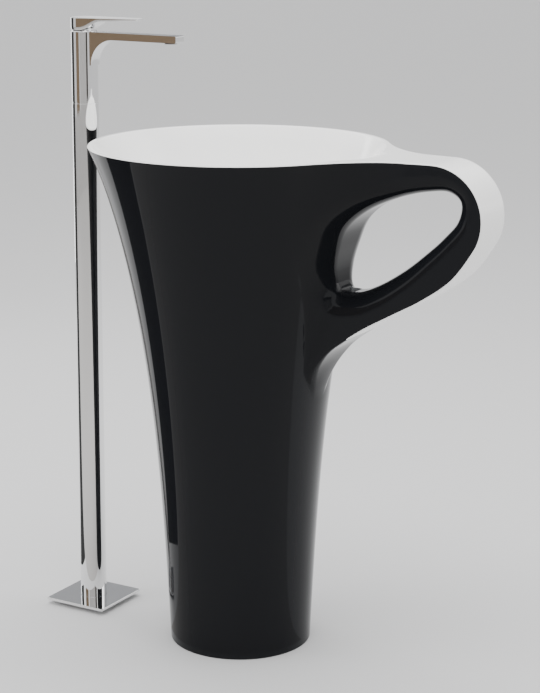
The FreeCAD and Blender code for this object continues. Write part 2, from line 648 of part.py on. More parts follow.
CARTRIDGE = (TAP_X, "0", BODY_TOP + " - cartridge_height - nut_space")
turned("cartridge_seal", ring("4", "cartridge_radius", "0", "1.5"), CARTRIDGE)
turned("cartridge_housing", [
    ("4", "1.5"), ("cartridge_radius", "1.5"), ("cartridge_radius", "cartridge_height"),
    ("cartridge_radius - cartridge_wall", "cartridge_height"),
    ("cartridge_radius - cartridge_wall", "cartridge_floor"), ("4", "cartridge_floor")],
    CARTRIDGE)
turned("fixed_disc", ring("3", "cartridge_radius - cartridge_wall - disc_gap", "cartridge_floor",
                          "cartridge_floor + disc_height"), CARTRIDGE)
turned("moving_disc", ring("0", "carrier_radius", "cartridge_floor + disc_height + gap / 2",
                           "cartridge_floor + 2 * disc_height"), CARTRIDGE)
carrier_floor = "cartridge_floor + 2 * disc_height"
turned("disc_carrier", [
    ("0", carrier_floor), ("carrier_radius", carrier_floor),
    ("carrier_radius", carrier_floor + " + carrier_height"),
    ("spindle_size / 2 + gap", carrier_floor + " + carrier_height"),
    ("spindle_size / 2 + gap", carrier_floor + " + 2"), ("0", carrier_floor + " + 2")],
    CARTRIDGE)

rotor_floor = CARTRIDGE[2] + " + " + carrier_floor + " + carrier_height + gap"
rotor_low = cylinder("rotor_low", "cartridge_radius - cartridge_wall - pin_clearance",
                     BODY_TOP + " - nut_space - gap - (%s)" % rotor_floor,
                     (TAP_X, "0", rotor_floor))
rotor_neck = cylinder("rotor_neck", "neck_radius", BODY_TOP + " - 3 - (%s)" % rotor_floor,
                      (TAP_X, "0", rotor_floor))
rotor_slot = block("rotor_slot", "2 * neck_radius - 4", "spindle_size + 2 * gap",
                   "cartridge_height", (TAP_X + " - neck_radius + 2", "-spindle_size / 2 - gap",
                                        rotor_floor))
PIN = (TAP_X, "-neck_radius + 1", BODY_TOP + " - pivot_drop")
UPRIGHT_TO_Y = Rotation(Vector(1, 0, 0), -90)
rotor_pin_bore = cylinder("rotor_pin_bore", "pin_radius", "2 * neck_radius - 2", PIN)
rotor_pin_bore.Placement.Rotation = UPRIGHT_TO_Y
finish(cut("cartridge_rotor", fuse("cartridge_rotor", rotor_low, rotor_neck), rotor_slot,
           rotor_pin_bore), "cartridge_rotor")

pin = cylinder("spindle_pin_rod", "pin_radius", "2 * neck_radius - 2", PIN)
pin.Placement.Rotation = UPRIGHT_TO_Y
finish(pin, "spindle_pin")

turned("retaining_nut", ring("neck_radius + gap", "cartridge_radius", "cartridge_height",
                             "cartridge_height + 9"), CARTRIDGE)

pivot = body_top - size("pivot_drop")
dome_radius = math.hypot(column, size("pivot_drop"))
centre = Vector(tap_x, 0, pivot)
dome = Part.makeSphere(dome_radius - 0.2, centre)
dome = dome.cut(Part.makeSphere(dome_radius - 2, centre))
dome = dome.common(Part.makeCylinder(column - 0.1, 30, Vector(tap_x, 0, body_top)))
dome = dome.cut(Part.makeCylinder(size("cap_opening"), 80, Vector(tap_x, 0, body_top - 20)))
shaped("dome_cap", dome)

# The spindle is a square bar with a round lower end that sits in the carrier.
lever_top = body_top + size("lever_rise")
carrier_level = pocket_bottom + size("cartridge_floor") + 2 * size("disc_height")
foot_of_spindle = carrier_level + 2 + size("spindle_size") / 2 + size("gap")
spindle_top = lever_top - 5
half = size("spindle_size") / 2
spindle = Part.makeBox(2 * half, 2 * half, spindle_top - foot_of_spindle - half,
                       Vector(tap_x - half, -half, foot_of_spindle + half))
spindle = spindle.fuse(Part.makeCylinder(half * 0.8, half + 1, Vector(tap_x, 0, foot_of_spindle)))
spindle = spindle.fuse(Part.makeSphere(half, Vector(tap_x, 0, foot_of_spindle)))
spindle = spindle.cut(Part.makeCylinder(size("pin_radius") + size("pin_clearance"), 40,
                                        Vector(tap_x, -20, pivot), Vector(0, 1, 0)))
shaped("spindle", spindle.removeSplitter())

# The lever: a round head that narrows below, running out into a thin level blade. Its
# underside is hollowed to a sphere about the pivot, so it rolls over the dome cap.
blade = size("blade_thickness")
head_edges = polyline([
    (0, 0, lever_top), (column, 0, lever_top), (column, 0, lever_top - 10),
    (column - 3, 0, body_top + 2), (0, 0, body_top + 2), (0, 0, lever_top)])
head = revolve(head_edges)
lever_side = [
    (0, 0, lever_top), (size("lever_reach"), 0, lever_top + 1.5),
    (size("lever_reach"), 0, lever_top - 0.5), (size("lever_reach") - 50, 0, lever_top - blade),
    (column + 22, 0, lever_top - blade), (column + 8, 0, lever_top - 11),
    (column - 8, 0, body_top + 3), (0, 0, body_top + 3), (0, 0, lever_top)]
side_face = Part.Face(Part.makePolygon([Vector(*point) for point in lever_side]))
side_face.translate(Vector(0, -column, 0))
arm = side_face.extrude(Vector(0, 2 * column, 0))
tip_half = size("lever_tip_width") / 2
plan_points = [(0, -column), (size("lever_reach"), -tip_half), (size("lever_reach"), tip_half),
               (0, column), (0, -column)]
plan = Part.Face(Part.makePolygon([Vector(x, y, body_top) for x, y in plan_points]))
lever = head.fuse(arm.common(plan.extrude(Vector(0, 0, 60))))
lever.translate(Vector(tap_x, 0, 0))
lever = lever.cut(Part.makeSphere(dome_radius + 0.7, centre))
socket = half + size("fit") / 2
lever = lever.cut(Part.makeBox(2 * socket, 2 * socket, spindle_top - pivot + 0.3,
                               Vector(tap_x - socket, -socket, pivot)))
screw_start = Vector(tap_x - socket, 0, lever_top - size("screw_drop"))
BACKWARDS = Vector(-1, 0, 0)
screw_way = Part.makeCylinder(size("screw_radius"), column, screw_start, BACKWARDS)
shaped("lever_handle", lever.cut(screw_way).removeSplitter())
shaped("lever_grub_screw", Part.makeCylinder(size("screw_radius"), size("screw_length"),
                                             screw_start, BACKWARDS))
plug_start = screw_start + BACKWARDS * (column - socket - 5)
shaped("index_plug", Part.makeCylinder(size("screw_radius"), 4.4, plug_start, BACKWARDS))

# ---------------------------------------------------------------------------------------
# Check every object, then write one file per piece.

doc.recompute()
for item in doc.Objects:
    if "Invalid" in item.State or "Error" in item.State:
        raise RuntimeError("failed object: %s %s" % (item.Label, item.State))
for piece in nodes:
    shape = piece.Shape
    if shape.isNull() or not shape.isValid() or not shape.Solids:
        raise RuntimeError("bad shape: " + piece.Label)
os.makedirs("parts", exist_ok=True)
for piece in nodes:
    piece.Shape.exportStep("parts/%s.step" % piece.Label)
    print("%-22s %10.0f mm3 %d solid(s)" % (piece.Label, piece.Shape.Volume,
                                            len(piece.Shape.Solids)))
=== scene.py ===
import json
import math

import bmesh
import bpy
import numpy as np
from mathutils import Matrix, Vector


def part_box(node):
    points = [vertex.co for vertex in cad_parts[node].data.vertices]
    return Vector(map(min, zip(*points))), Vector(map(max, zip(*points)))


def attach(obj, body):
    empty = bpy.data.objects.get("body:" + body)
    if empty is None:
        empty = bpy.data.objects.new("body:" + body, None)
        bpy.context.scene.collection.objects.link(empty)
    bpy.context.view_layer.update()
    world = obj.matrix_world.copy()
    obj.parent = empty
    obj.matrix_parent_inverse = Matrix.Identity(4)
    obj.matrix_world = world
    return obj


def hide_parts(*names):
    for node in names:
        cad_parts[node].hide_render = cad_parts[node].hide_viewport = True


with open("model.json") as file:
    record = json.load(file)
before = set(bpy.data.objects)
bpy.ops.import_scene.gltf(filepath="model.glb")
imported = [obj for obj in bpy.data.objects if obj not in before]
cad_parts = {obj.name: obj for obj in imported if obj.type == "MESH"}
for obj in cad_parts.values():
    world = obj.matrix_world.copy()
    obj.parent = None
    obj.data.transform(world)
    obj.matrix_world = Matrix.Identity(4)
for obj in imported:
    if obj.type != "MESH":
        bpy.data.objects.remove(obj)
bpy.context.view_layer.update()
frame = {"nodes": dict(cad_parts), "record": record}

# ======================================================================== Room and camera
# The object stands on a plain pale floor. The camera looks from the handle's side, a little
# above the rim, with a long lens.

camera_turn, camera_tilt = math.radians(30.7), math.radians(10.84)
camera_range, camera_side, camera_height = 3.232, 0.0506, 1.3037
across = Vector((math.cos(camera_turn), math.sin(camera_turn), 0))
ahead = Vector((-math.sin(camera_turn), math.cos(camera_turn), 0))
camera_data = bpy.data.cameras.new("camera")
camera_data.lens = 103.02
camera_data.sensor_width = 36
camera_data.shift_y = -0.15
camera = bpy.data.objects.new("camera", camera_data)
camera.location = across * camera_side - ahead * camera_range + Vector((0, 0, camera_height))
looking = ahead * math.cos(camera_tilt) - Vector((0, 0, math.sin(camera_tilt)))
camera.rotation_mode = "QUATERNION"
camera.rotation_quaternion = looking.to_track_quat("-Z", "Y")
bpy.context.scene.collection.objects.link(camera)
bpy.context.scene.camera = camera


def new_material(name):
    """A material with only its Principled shader, and that shader."""
    material = bpy.data.materials.new(name)
    material.use_nodes = True
    return material, material.node_tree.nodes["Principled BSDF"]


def set_inputs(node, values):
    """Sets inputs of a shader node by name."""
    for name, value in values.items():
        node.inputs[name].default_value = value


def area_light(name, place, aim, width, depth, power, mirrored=True):
    """A soft rectangular lamp. One that isn't mirrored lights the object without showing in
    its gloss."""
    light = bpy.data.lights.new(name, "AREA")
    light.shape = "RECTANGLE"
    light.size, light.size_y, light.energy = width, depth, power
    lamp = bpy.data.objects.new(name, light)
    lamp.location = place
    lamp.rotation_mode = "QUATERNION"
    lamp.rotation_quaternion = (Vector(aim) - Vector(place)).to_track_quat("-Z", "Y")
    lamp.visible_glossy = mirrored
    lamp.visible_camera = False
    bpy.context.scene.collection.objects.link(lamp)


area_light("overhead", (0, 0, 3.4), (0, 0, 0), 3.0, 3.0, 122, mirrored=False)
area_light("left_front", (-2.6, -2.4, 2.4), (0, 0, 0.4), 1.8, 1.8, 27, mirrored=False)
area_light("left_strip", (-2.3, 0.9, 1.2), (0, 0, 0.6), 0.35, 2.2, 10)
area_light("right_window", (2.5, 1.9, 1.7), (0.1, 0, 0.6), 1.2, 2.4, 17)

world = bpy.data.worlds.new("room")
bpy.context.scene.world = world
world.use_nodes = True
room_light = world.node_tree.nodes["Background"]
room_light.inputs["Color"].default_value = (1.42, 1.42, 1.425, 1)

bpy.ops.mesh.primitive_circle_add(vertices=128, radius=40, fill_type="NGON")
floor = bpy.context.object
floor.name = "studio_floor"
floor_paint, floor_shader = new_material("floor_paint")
set_inputs(floor_shader, {"Base Color": (0.575, 0.575, 0.578, 1), "Roughness": 0.8,
                          "Specular IOR Level": 0.1})
floor.data.materials.append(floor_paint)

# Screens stand round the object and lie on the floor before it. They only show as the
# darker parts of the room in gloss and chrome.


def studio_screen(name, colour, first, last, near, far, low, high):
    """A dull screen between two bearings round the origin, in degrees, from its near and low
    edge to its far and high edge."""
    bearings = np.radians(np.linspace(first, last, 25))
    places = [(reach * math.cos(a), reach * math.sin(a), z)
              for reach, z in ((near, low), (far, high)) for a in bearings]
    mesh = bpy.data.meshes.new(name)
    mesh.from_pydata(places, [], [(i, i + 1, 26 + i, 25 + i) for i in range(24)])
    felt, felt_shader = new_material(name + "_felt")
    set_inputs(felt_shader, {"Base Color": (*colour, 1), "Roughness": 1.0,
                             "Specular IOR Level": 0.0})
    mesh.materials.append(felt)
    screen = bpy.data.objects.new(name, mesh)
    screen.visible_camera = False
    screen.visible_diffuse = False
    screen.visible_shadow = False
    screen.visible_transmission = False
    bpy.context.scene.collection.objects.link(screen)


studio_screen("screen_on_floor", (0.40, 0.39, 0.38), -156, 8, 0.13, 4.5, 0.004, 0.004)
studio_screen("screen_low", (0.40, 0.39, 0.38), -156, 8, 4.5, 4.5, 0.0, 0.35)
studio_screen("screen_brown", (0.17, 0.125, 0.085), -134, -106, 4.5, 4.5, 0.35, 4.0)
studio_screen("screen_grey", (0.42, 0.41, 0.40), -100, -44, 4.5, 4.5, 0.35, 4.0)
studio_screen("screen_dark", (0.05, 0.045, 0.04), -44, -30, 4.5, 4.5, 0.35, 4.0)
studio_screen("screen_left", (0.03, 0.03, 0.03), -186, -157, 3.0, 3.0, 0.0, 2.2)
studio_screen("screen_left_floor", (0.03, 0.03, 0.03), -186, -157, 0.50, 3.0, 0.004, 0.004)
studio_screen("screen_behind", (0.34, 0.345, 0.355), 60, 175, 6.0, 6.0, 1.5, 3.6)

# ============================================================ Cast body of the black shell
# One tall flared vessel with a closed loop handle, cast hollow and lacquered gloss black.
# Its surface is the level where a smooth field of distances is zero, so the handle grows
# out of the wall without a seam.

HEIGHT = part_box("rim_handle_band")[1].z
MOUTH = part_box("rim_handle_band")[1].y
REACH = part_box("rim_handle_band")[1].x
FOOT, TAPER, FLARE = 0.1195, 0.042, 0.080
LIP_POWER = 16
FOOT_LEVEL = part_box("pedestal_shell")[0].z
SHELL_WALL = 0.007


def wall_radius(z):
    """The vessel's outside radius at a height."""
    share = np.clip(z / HEIGHT, 0, 1.2)
    return (FOOT + TAPER * share + FLARE * share ** 3
            + (MOUTH - FOOT - TAPER - FLARE) * share ** LIP_POWER)


def round_join(a, b, radius):
    """Two solids joined with a hollow fillet of that radius."""
    inner = np.hypot(np.maximum(radius - a, 0), np.maximum(radius - b, 0))
    return np.maximum(radius, np.minimum(a, b)) - inner


def round_common(a, b, radius):
    """What two solids share, with its edge rounded to that radius."""
    return -round_join(-a, -b, radius)


def blend(low, high, value):
    """0 below low and 1 above high, with a smooth rise between."""
    share = np.clip((value - low) / (high - low), 0, 1)
    return share * share * (3 - 2 * share)


def smooth_curve(points, count, closed=False):
    """A curve through the points, as count evenly spread places along it."""
    points = np.array(points, float)
    if closed:
        points = np.vstack([points[-2:], points, points[:3]])
    else:
        points = np.vstack([2 * points[0] - points[1], points, 2 * points[-1] - points[-2]])
    spans = np.linalg.norm(np.diff(points, axis=0), axis=1)
    knots = np.concatenate([[0], np.cumsum(spans ** 0.5)])
    curve = []
    last = len(points) - (4 if closed else 3)
    for index in range(1, last + 1):
        t0, t1, t2, t3 = knots[index - 1:index + 3]
        p0, p1, p2, p3 = points[index - 1:index + 3]
        t = np.linspace(t1, t2, 24, endpoint=False)[:, None]
        a1 = (t1 - t) / (t1 - t0) * p0 + (t - t0) / (t1 - t0) * p1
        a2 = (t2 - t) / (t2 - t1) * p1 + (t - t1) / (t2 - t1) * p2
        a3 = (t3 - t) / (t3 - t2) * p2 + (t - t2) / (t3 - t2) * p3
        b1 = (t2 - t) / (t2 - t0) * a1 + (t - t0) / (t2 - t0) * a2
        b2 = (t3 - t) / (t3 - t1) * a2 + (t - t1) / (t3 - t1) * a3
        curve.append((t2 - t) / (t2 - t1) * b1 + (t - t1) / (t2 - t1) * b2)
    curve = np.vstack(curve + [points[last + 1][None]])
    walked = np.concatenate([[0], np.cumsum(np.linalg.norm(np.diff(curve, axis=0), axis=1))])
    places = np.linspace(0, walked[-1], count)
    return np.column_stack([np.interp(places, walked, curve[:, axis])
                            for axis in range(curve.shape[1])])


def side_point(drop, distance):
    """A point in the side view: its drop below the rim, and how far it is off the wall."""
    level = HEIGHT - drop
    return (float(wall_radius(level)) + distance, level)


# The handle in side view: its outer edge runs level from the rim, round the end, and down
# the strap to the tip of the white band; below that it sweeps into the wall.
END_RADIUS = 0.086
end_centre = (REACH - END_RADIUS, HEIGHT - END_RADIUS)
TIP = (0.294, 0.059)
STRAP = [(0.178, 0.218), (0.216, 0.176), (0.243, 0.134), (0.272, 0.088), TIP]
ROOT = [(0.318, 0.031), (0.342, 0.015), (0.368, 0.006), (0.400, 0.0005), (0.430, -0.003)]
arc = [(end_centre[0] + END_RADIUS * math.cos(a), end_centre[1] + END_RADIUS * math.sin(a))
       for a in np.radians(np.arange(90, -26, -5))]
strap = smooth_curve([arc[-2], arc[-1]] + [side_point(*pair) for pair in STRAP + ROOT], 200)
strap = strap[np.linalg.norm(strap - np.array(arc[-1]), axis=1).argmin() + 1:]
outer_edge = np.vstack([np.column_stack([np.linspace(0.1, end_centre[0], 20, endpoint=False),
                                         np.full(20, HEIGHT)]), arc, strap,
                        [[0.06, HEIGHT - 0.50]]])
HOLE = [(0.220, 0.020), (0.190, 0.007), (0.152, 0.006), (0.117, 0.011), (0.086, 0.035),
        (0.061, 0.080), (0.047, 0.128), (0.045, 0.165), (0.058, 0.188), (0.086, 0.194),
        (0.117, 0.178), (0.144, 0.156), (0.175, 0.125), (0.206, 0.082), (0.221, 0.047)]
hole_edge = smooth_curve([side_point(*pair) for pair in HOLE], 300, closed=True)


def distance_to(line, x, z, closed):
    """The signed distance to a line in the side view, negative to its right-hand side, or
    inside a closed one."""
    start = line if closed else line[:-1]
    end = np.roll(line, -1, axis=0) if closed else line[1:]
    best = np.full(x.shape, 9.0)
    sign = np.ones(x.shape)
    for (ax, az), (bx, bz) in zip(start, end):
        ux, uz = bx - ax, bz - az
        length = ux * ux + uz * uz
        if length < 1e-14:
            continue
        along = np.clip(((x - ax) * ux + (z - az) * uz) / length, 0, 1)
        dx, dz = x - ax - along * ux, z - az - along * uz
        far = np.hypot(dx, dz)
        closer = far < best - 1e-12
        best = np.where(closer, far, best)
        if not closed:
            sign = np.where(closer, np.sign(ux * (z - az) - uz * (x - ax)), sign)
    if closed:
        inside = np.zeros(x.shape, bool)
        for (ax, az), (bx, bz) in zip(start, end):
            if az != bz:
                crosses = (az > z) != (bz > z)
                inside ^= crosses & (x < (bx - ax) * (z - az) / (bz - az) + ax)
        sign = np.where(inside, -1, 1)
    return best * sign


class Chart:
    """A map of distances in the side view, looked up smoothly between its grid points."""

    def __init__(self, line, closed, low, high, step=0.002):
        self.low, self.step = np.array(low), step
        xs = np.arange(low[0], high[0] + step, step)
        zs = np.arange(low[1], high[1] + step, step)
        self.values = distance_to(line, *np.meshgrid(xs, zs, indexing="ij"), closed)

    def __call__(self, x, z):
        u = np.clip((x - self.low[0]) / self.step, 0, self.values.shape[0] - 1.001)
        v = np.clip((z - self.low[1]) / self.step, 0, self.values.shape[1] - 1.001)
        i, j = u.astype(int), v.astype(int)
        u, v = u - i, v - j
        table = self.values
        return ((1 - u) * (1 - v) * table[i, j] + u * (1 - v) * table[i + 1, j]
                + (1 - u) * v * table[i, j + 1] + u * v * table[i + 1, j + 1])


edge_chart = Chart(outer_edge, False, (-0.30, 0.30), (0.52, 0.90))
hole_chart = Chart(hole_edge, True, (0.10, 0.56), (0.50, 0.88))
tip_point = np.array(side_point(*TIP))
tip_level = tip_point[1]
tip_index = np.linalg.norm(outer_edge - tip_point, axis=1).argmin()
tip_heading = outer_edge[tip_index + 1] - outer_edge[tip_index - 1]
tip_heading /= np.linalg.norm(tip_heading)
EDGE = 0.0016
# Where the white face of the rim runs out onto the handle, and how deep the rim's own edge
# reaches below its top.
FORK = 0.355
RIM_DEPTH = 0.012
# The hollow's wall is thinner above this level. Within this angle of the handle's middle its
# top edge drops, so that it stays under the softened white lip.
THIN_ABOVE, THIN_WALL = 0.84, 0.005
SADDLE_ANGLE, LAND_DROP = 0.30, 0.011


def handle_half_width(x):
    """Half the handle's width across, a little less towards its far end."""
    return 0.048 - 0.0055 * blend(0.33, 0.47, x)


def black_field(x, y, z):
    """Below zero inside the black casting, with the handle running on past its outer edge
    where the white band covers it."""
    wall = np.hypot(x, y) - wall_radius(z)
    flank = np.abs(y) - handle_half_width(x)
    behind = 0.02 - x
    roundness = 1 - blend(HEIGHT - 0.40, HEIGHT - 0.33, z)
    edge = edge_chart(x + roundness * (np.hypot(x, y) - x) * (x > 0), z)
    softness = (EDGE + 0.004 * (1 - blend(tip_level - 0.01, tip_level + 0.01, z))
                + 0.03 * (1 - blend(HEIGHT - 0.42, tip_level - 0.01, z)))
    bar = round_common(np.maximum(flank, behind), edge, softness)
    fillet = 0.001 + 0.093 * blend(HEIGHT - 0.42, HEIGHT, z) ** 1.4
    body = round_join(wall, bar, fillet)
    hole = hole_chart(x, z)
    rounding = 0.026 + 0.010 * (1 - blend(0.24, 0.42, x))
    return round_common(body, -hole, rounding)


def slope_of(field, points, step=2e-4):
    """How steeply a field rises along each axis, at every point."""
    return np.column_stack([
        (field(*(points + move).T) - field(*(points - move).T)) / (2 * step)
        for move in np.eye(3) * step])


def project(field, points, turns=8, limit=None):
    """Moves points along the field's slope until they lie on its zero level, and returns
    them with the surface's normals there."""
    start = points.copy()
    for _ in range(turns):
        value, slope = field(*points.T), slope_of(field, points)
        size = np.maximum((slope ** 2).sum(1), 1e-9)
        points = points - slope * (value / size)[:, None] * 0.9
        if limit:
            shift = points - start
            long = np.maximum(np.linalg.norm(shift, axis=1) / limit, 1)
            points = start + shift / long[:, None]
    return points, slope / np.sqrt(size)[:, None]


def surface_net(field, low, high, step):
    """Evenly sized quads over the zero level of a field within a box."""
    axes = [np.arange(a, b + step, step, dtype=np.float64) for a, b in zip(low, high)]
    inside = np.empty([len(axis) for axis in axes], bool)
    for index, x in enumerate(axes[0]):
        y, z = np.meshgrid(axes[1], axes[2], indexing="ij")
        inside[index] = field(np.full(y.shape, x), y, z) < 0
    cells = [inside[i:i + inside.shape[0] - 1, j:j + inside.shape[1] - 1,
                    k:k + inside.shape[2] - 1] for i in (0, 1) for j in (0, 1) for k in (0, 1)]
    count = sum(cell.astype(np.int8) for cell in cells)
    mixed = (count > 0) & (count < 8)
    number = np.full(mixed.shape, -1)
    number[mixed] = np.arange(mixed.sum())
    points = (np.argwhere(mixed) + 0.5) * step + np.array([axis[0] for axis in axes])
    faces = []
    for axis in range(3):
        side = [slice(1, -1)] * 3
        side[axis] = slice(0, -1)
        after = list(side)
        after[axis] = slice(1, None)
        here, there = inside[tuple(side)], inside[tuple(after)]
        spots = np.argwhere(here != there) + [int(axis != n) for n in range(3)]
        outwards = here[here != there]
        second, third = (axis + 1) % 3, (axis + 2) % 3
        ring = []
        for a, b in ((1, 1), (0, 1), (0, 0), (1, 0)):
            cell = spots.copy()
            cell[:, second] -= a
            cell[:, third] -= b
            ring.append(number[tuple(cell.T)])
        quad = np.column_stack(ring)
        quad[~outwards] = quad[~outwards][:, ::-1]
        faces.append(quad)
    faces = np.vstack(faces)
    faces = faces[(faces >= 0).all(1)]
    for _ in range(3):
        points, _ = project(field, points, turns=3, limit=step * 1.2)
        total, times = np.zeros(points.shape), np.zeros(len(points))
        for corner in range(4):
            a, b = faces[:, corner], faces[:, (corner + 1) % 4]
            for one, other in ((a, b), (b, a)):
                np.add.at(total, one, points[other])
                np.add.at(times, one, 1)
        points = 0.5 * points + 0.5 * total / np.maximum(times, 1)[:, None]
    points, normals = project(field, points, turns=8)
    return points, normals, faces


def clip(points, normals, faces, height_field, field):
    """Cuts a mesh where height_field rises over zero. Faces become triangles or longer at the
    cut, and the cut's points lie on both surfaces."""
    value = height_field(*points.T)
    keep = value <= 0
    lists, cuts, added = [], {}, []
    whole = keep[faces].all(1)
    lists.extend(faces[whole].tolist())
    for face in faces[~whole & keep[faces].any(1)]:
        corners = []
        for a, b in zip(face, np.roll(face, -1)):
            if keep[a]:
                corners.append(int(a))
            if keep[a] != keep[b]:
                key = (min(a, b), max(a, b))
                if key not in cuts:
                    share = value[key[0]] / (value[key[0]] - value[key[1]])
                    cuts[key] = len(points) + len(added)
                    added.append(points[key[0]] * (1 - share) + points[key[1]] * share)
                corners.append(cuts[key])
        lists.append(corners)
    fresh, slopes = project(field, np.array(added), turns=4)
    for _ in range(3):
        rise, slope = height_field(*fresh.T), slope_of(height_field, fresh)
        flat = slope - slopes * (slope * slopes).sum(1)[:, None]
        fresh = fresh - flat * (rise / np.maximum((flat ** 2).sum(1), 1e-6))[:, None]
        fresh, slopes = project(field, fresh, turns=3)
    points, normals = np.vstack([points, fresh]), np.vstack([normals, slopes])
    used = np.unique(np.concatenate([np.array(face) for face in lists]))
    renumber = np.full(len(points), -1)
    renumber[used] = np.arange(len(used))
    return points[used], normals[used], [renumber[face].tolist() for face in lists]


def add_mesh(name, points, faces, material, normals=None):
    """A smooth shaded mesh object with its material."""
    mesh = bpy.data.meshes.new(name)
    mesh.from_pydata([tuple(point) for point in points], [], [list(face) for face in faces])
    mesh.validate()
    mesh.shade_smooth()
    if normals is not None:
        mesh.normals_split_custom_set_from_vertices([tuple(normal) for normal in normals])
    mesh.materials.append(material)
    piece = bpy.data.objects.new(name, mesh)
    bpy.context.scene.collection.objects.link(piece)
    return piece


def above_band(x, y, z):
    """Over zero where the white band, and not the black casting, makes the surface."""
    before_tip = (tip_point[0] - x) * tip_heading[0] + (tip_point[1] - z) * tip_heading[1]
    handle = np.minimum(edge_chart(x, z) + EDGE, before_tip)
    return np.maximum(z - (HEIGHT - EDGE), handle)


GRID = 0.0036


def finish_wear():
    """A shader group that every finish shares: broad cloudiness in colour, fine variation in
    roughness, and a fine surface height."""
    tree = bpy.data.node_groups.new("finish_wear", "ShaderNodeTree")
    for name, kind, value in (("Colour", "NodeSocketColor", (0.5, 0.5, 0.5, 1)),
                              ("Clouded Colour", "NodeSocketColor", (0.5, 0.5, 0.5, 1)),
                              ("Cloud Scale", "NodeSocketFloat", 6.0),
                              ("Grain Scale", "NodeSocketFloat", 200.0),
                              ("Smoothest", "NodeSocketFloat", 0.2),
                              ("Roughest", "NodeSocketFloat", 0.3)):
        socket = tree.interface.new_socket(name, in_out="INPUT", socket_type=kind)
        socket.default_value = value
    tree.interface.new_socket("Colour", in_out="OUTPUT", socket_type="NodeSocketColor")
    tree.interface.new_socket("Roughness", in_out="OUTPUT", socket_type="NodeSocketFloat")
    tree.interface.new_socket("Height", in_out="OUTPUT", socket_type="NodeSocketFloat")
    nodes, links = tree.nodes, tree.links
    source, target = nodes.new("NodeGroupInput"), nodes.new("NodeGroupOutput")
    place = nodes.new("ShaderNodeTexCoord")
    cloud, grain = nodes.new("ShaderNodeTexNoise"), nodes.new("ShaderNodeTexNoise")
    cloud.inputs["Detail"].default_value = 4.0
    grain.inputs["Detail"].default_value = 2.0
    for noise, scale in ((cloud, "Cloud Scale"), (grain, "Grain Scale")):
        links.new(place.outputs["Object"], noise.inputs["Vector"])
        links.new(source.outputs[scale], noise.inputs["Scale"])
    tint = nodes.new("ShaderNodeMix")
    tint.data_type = "RGBA"
    links.new(cloud.outputs["Fac"], tint.inputs["Factor"])
    links.new(source.outputs["Colour"], tint.inputs[6])
    links.new(source.outputs["Clouded Colour"], tint.inputs[7])
    both = nodes.new("ShaderNodeMath")
    both.operation = "MULTIPLY"
    links.new(cloud.outputs["Fac"], both.inputs[0])
    links.new(grain.outputs["Fac"], both.inputs[1])
    rough = nodes.new("ShaderNodeMapRange")
    set_inputs(rough, {"From Min": 0.12, "From Max": 0.40})
    links.new(both.outputs["Value"], rough.inputs["Value"])
    links.new(source.outputs["Smoothest"], rough.inputs["To Min"])
    links.new(source.outputs["Roughest"], rough.inputs["To Max"])
    links.new(tint.outputs[2], target.inputs["Colour"])
    links.new(rough.outputs["Result"], target.inputs["Roughness"])
    links.new(grain.outputs["Fac"], target.inputs["Height"])
    return tree


finish_group = finish_wear()


def finished_material(name, colour, clouded, rough, clouds=6.0, grain=200.0, bump=0.05,
                      metallic=0.0, specular=0.5):
    """A material whose colour, roughness and surface come from the shared finish group."""
    material, shader = new_material(name)
    tree = material.node_tree
    group = tree.nodes.new("ShaderNodeGroup")
    group.node_tree = finish_group
    set_inputs(group, {"Colour": (*colour, 1), "Clouded Colour": (*clouded, 1),
                       "Cloud Scale": clouds, "Grain Scale": grain,
                       "Smoothest": rough[0], "Roughest": rough[1]})
    relief = tree.nodes.new("ShaderNodeBump")
    set_inputs(relief, {"Strength": bump, "Distance": 0.0004})
    tree.links.new(group.outputs["Colour"], shader.inputs["Base Color"])
    tree.links.new(group.outputs["Roughness"], shader.inputs["Roughness"])
    tree.links.new(group.outputs["Height"], relief.inputs["Height"])
    tree.links.new(relief.outputs["Normal"], shader.inputs["Normal"])
    set_inputs(shader, {"Metallic": metallic, "Specular IOR Level": specular})
    return material


black_lacquer = finished_material("black_lacquer", (0.0062, 0.0068, 0.0084),
                                  (0.0080, 0.0085, 0.0098), (0.035, 0.075), clouds=3.0,
                                  grain=90.0, bump=0.02, specular=0.15)
NET_SIDE = 0.262
Y_EDGE = GRID * (math.ceil(NET_SIDE / GRID) + 0.5)
points, normals, faces = surface_net(
    black_field, (-NET_SIDE, -Y_EDGE, -0.01), (0.48, Y_EDGE, HEIGHT + 0.012), GRID)
points, normals, faces = clip(points, normals, faces, above_band, black_field)
triangles = np.array([[face[0], face[i], face[i + 1]]
                      for face in faces for i in range(1, len(face) - 1)])
points, normals, faces = clip(points, normals, triangles,
                              lambda x, y, z: FOOT_LEVEL - z, black_field)


def border_loops(faces):
    """The open edges of a mesh, joined into closed loops of vertex numbers."""
    after = {}
    for face in faces:
        for a, b in zip(face, face[1:] + face[:1]):
            after[(a, b)] = True
    follows = {}
    for a, b in after:
        if (b, a) not in after:
            follows[b] = a
    loops = []
    while follows:
        start = next(iter(follows))
        loop, here = [start], follows.pop(start)
        while here != start:
            loop.append(here)
            here = follows.pop(here)
        loops.append(loop)
    return loops


loops = sorted(border_loops(faces), key=len)[-2:]
foot_loop, rim_loop = sorted(loops, key=lambda loop: points[loop, 2].mean())


def zip_loops(one, other, one_far, other_far):
    """Triangles between two rows of vertices, given how far along each vertex lies."""
    triangles = []
    i = j = 0
    while i < len(one) - 1 or j < len(other) - 1:
        if j >= len(other) - 1 or (i < len(one) - 1 and one_far[i + 1] < other_far[j + 1]):
            triangles.append([one[i], one[i + 1], other[j]])
            i += 1
        else:
            triangles.append([other[j + 1], other[j], one[i]])
            j += 1
    return [triangle for triangle in triangles if len(set(triangle)) == 3]


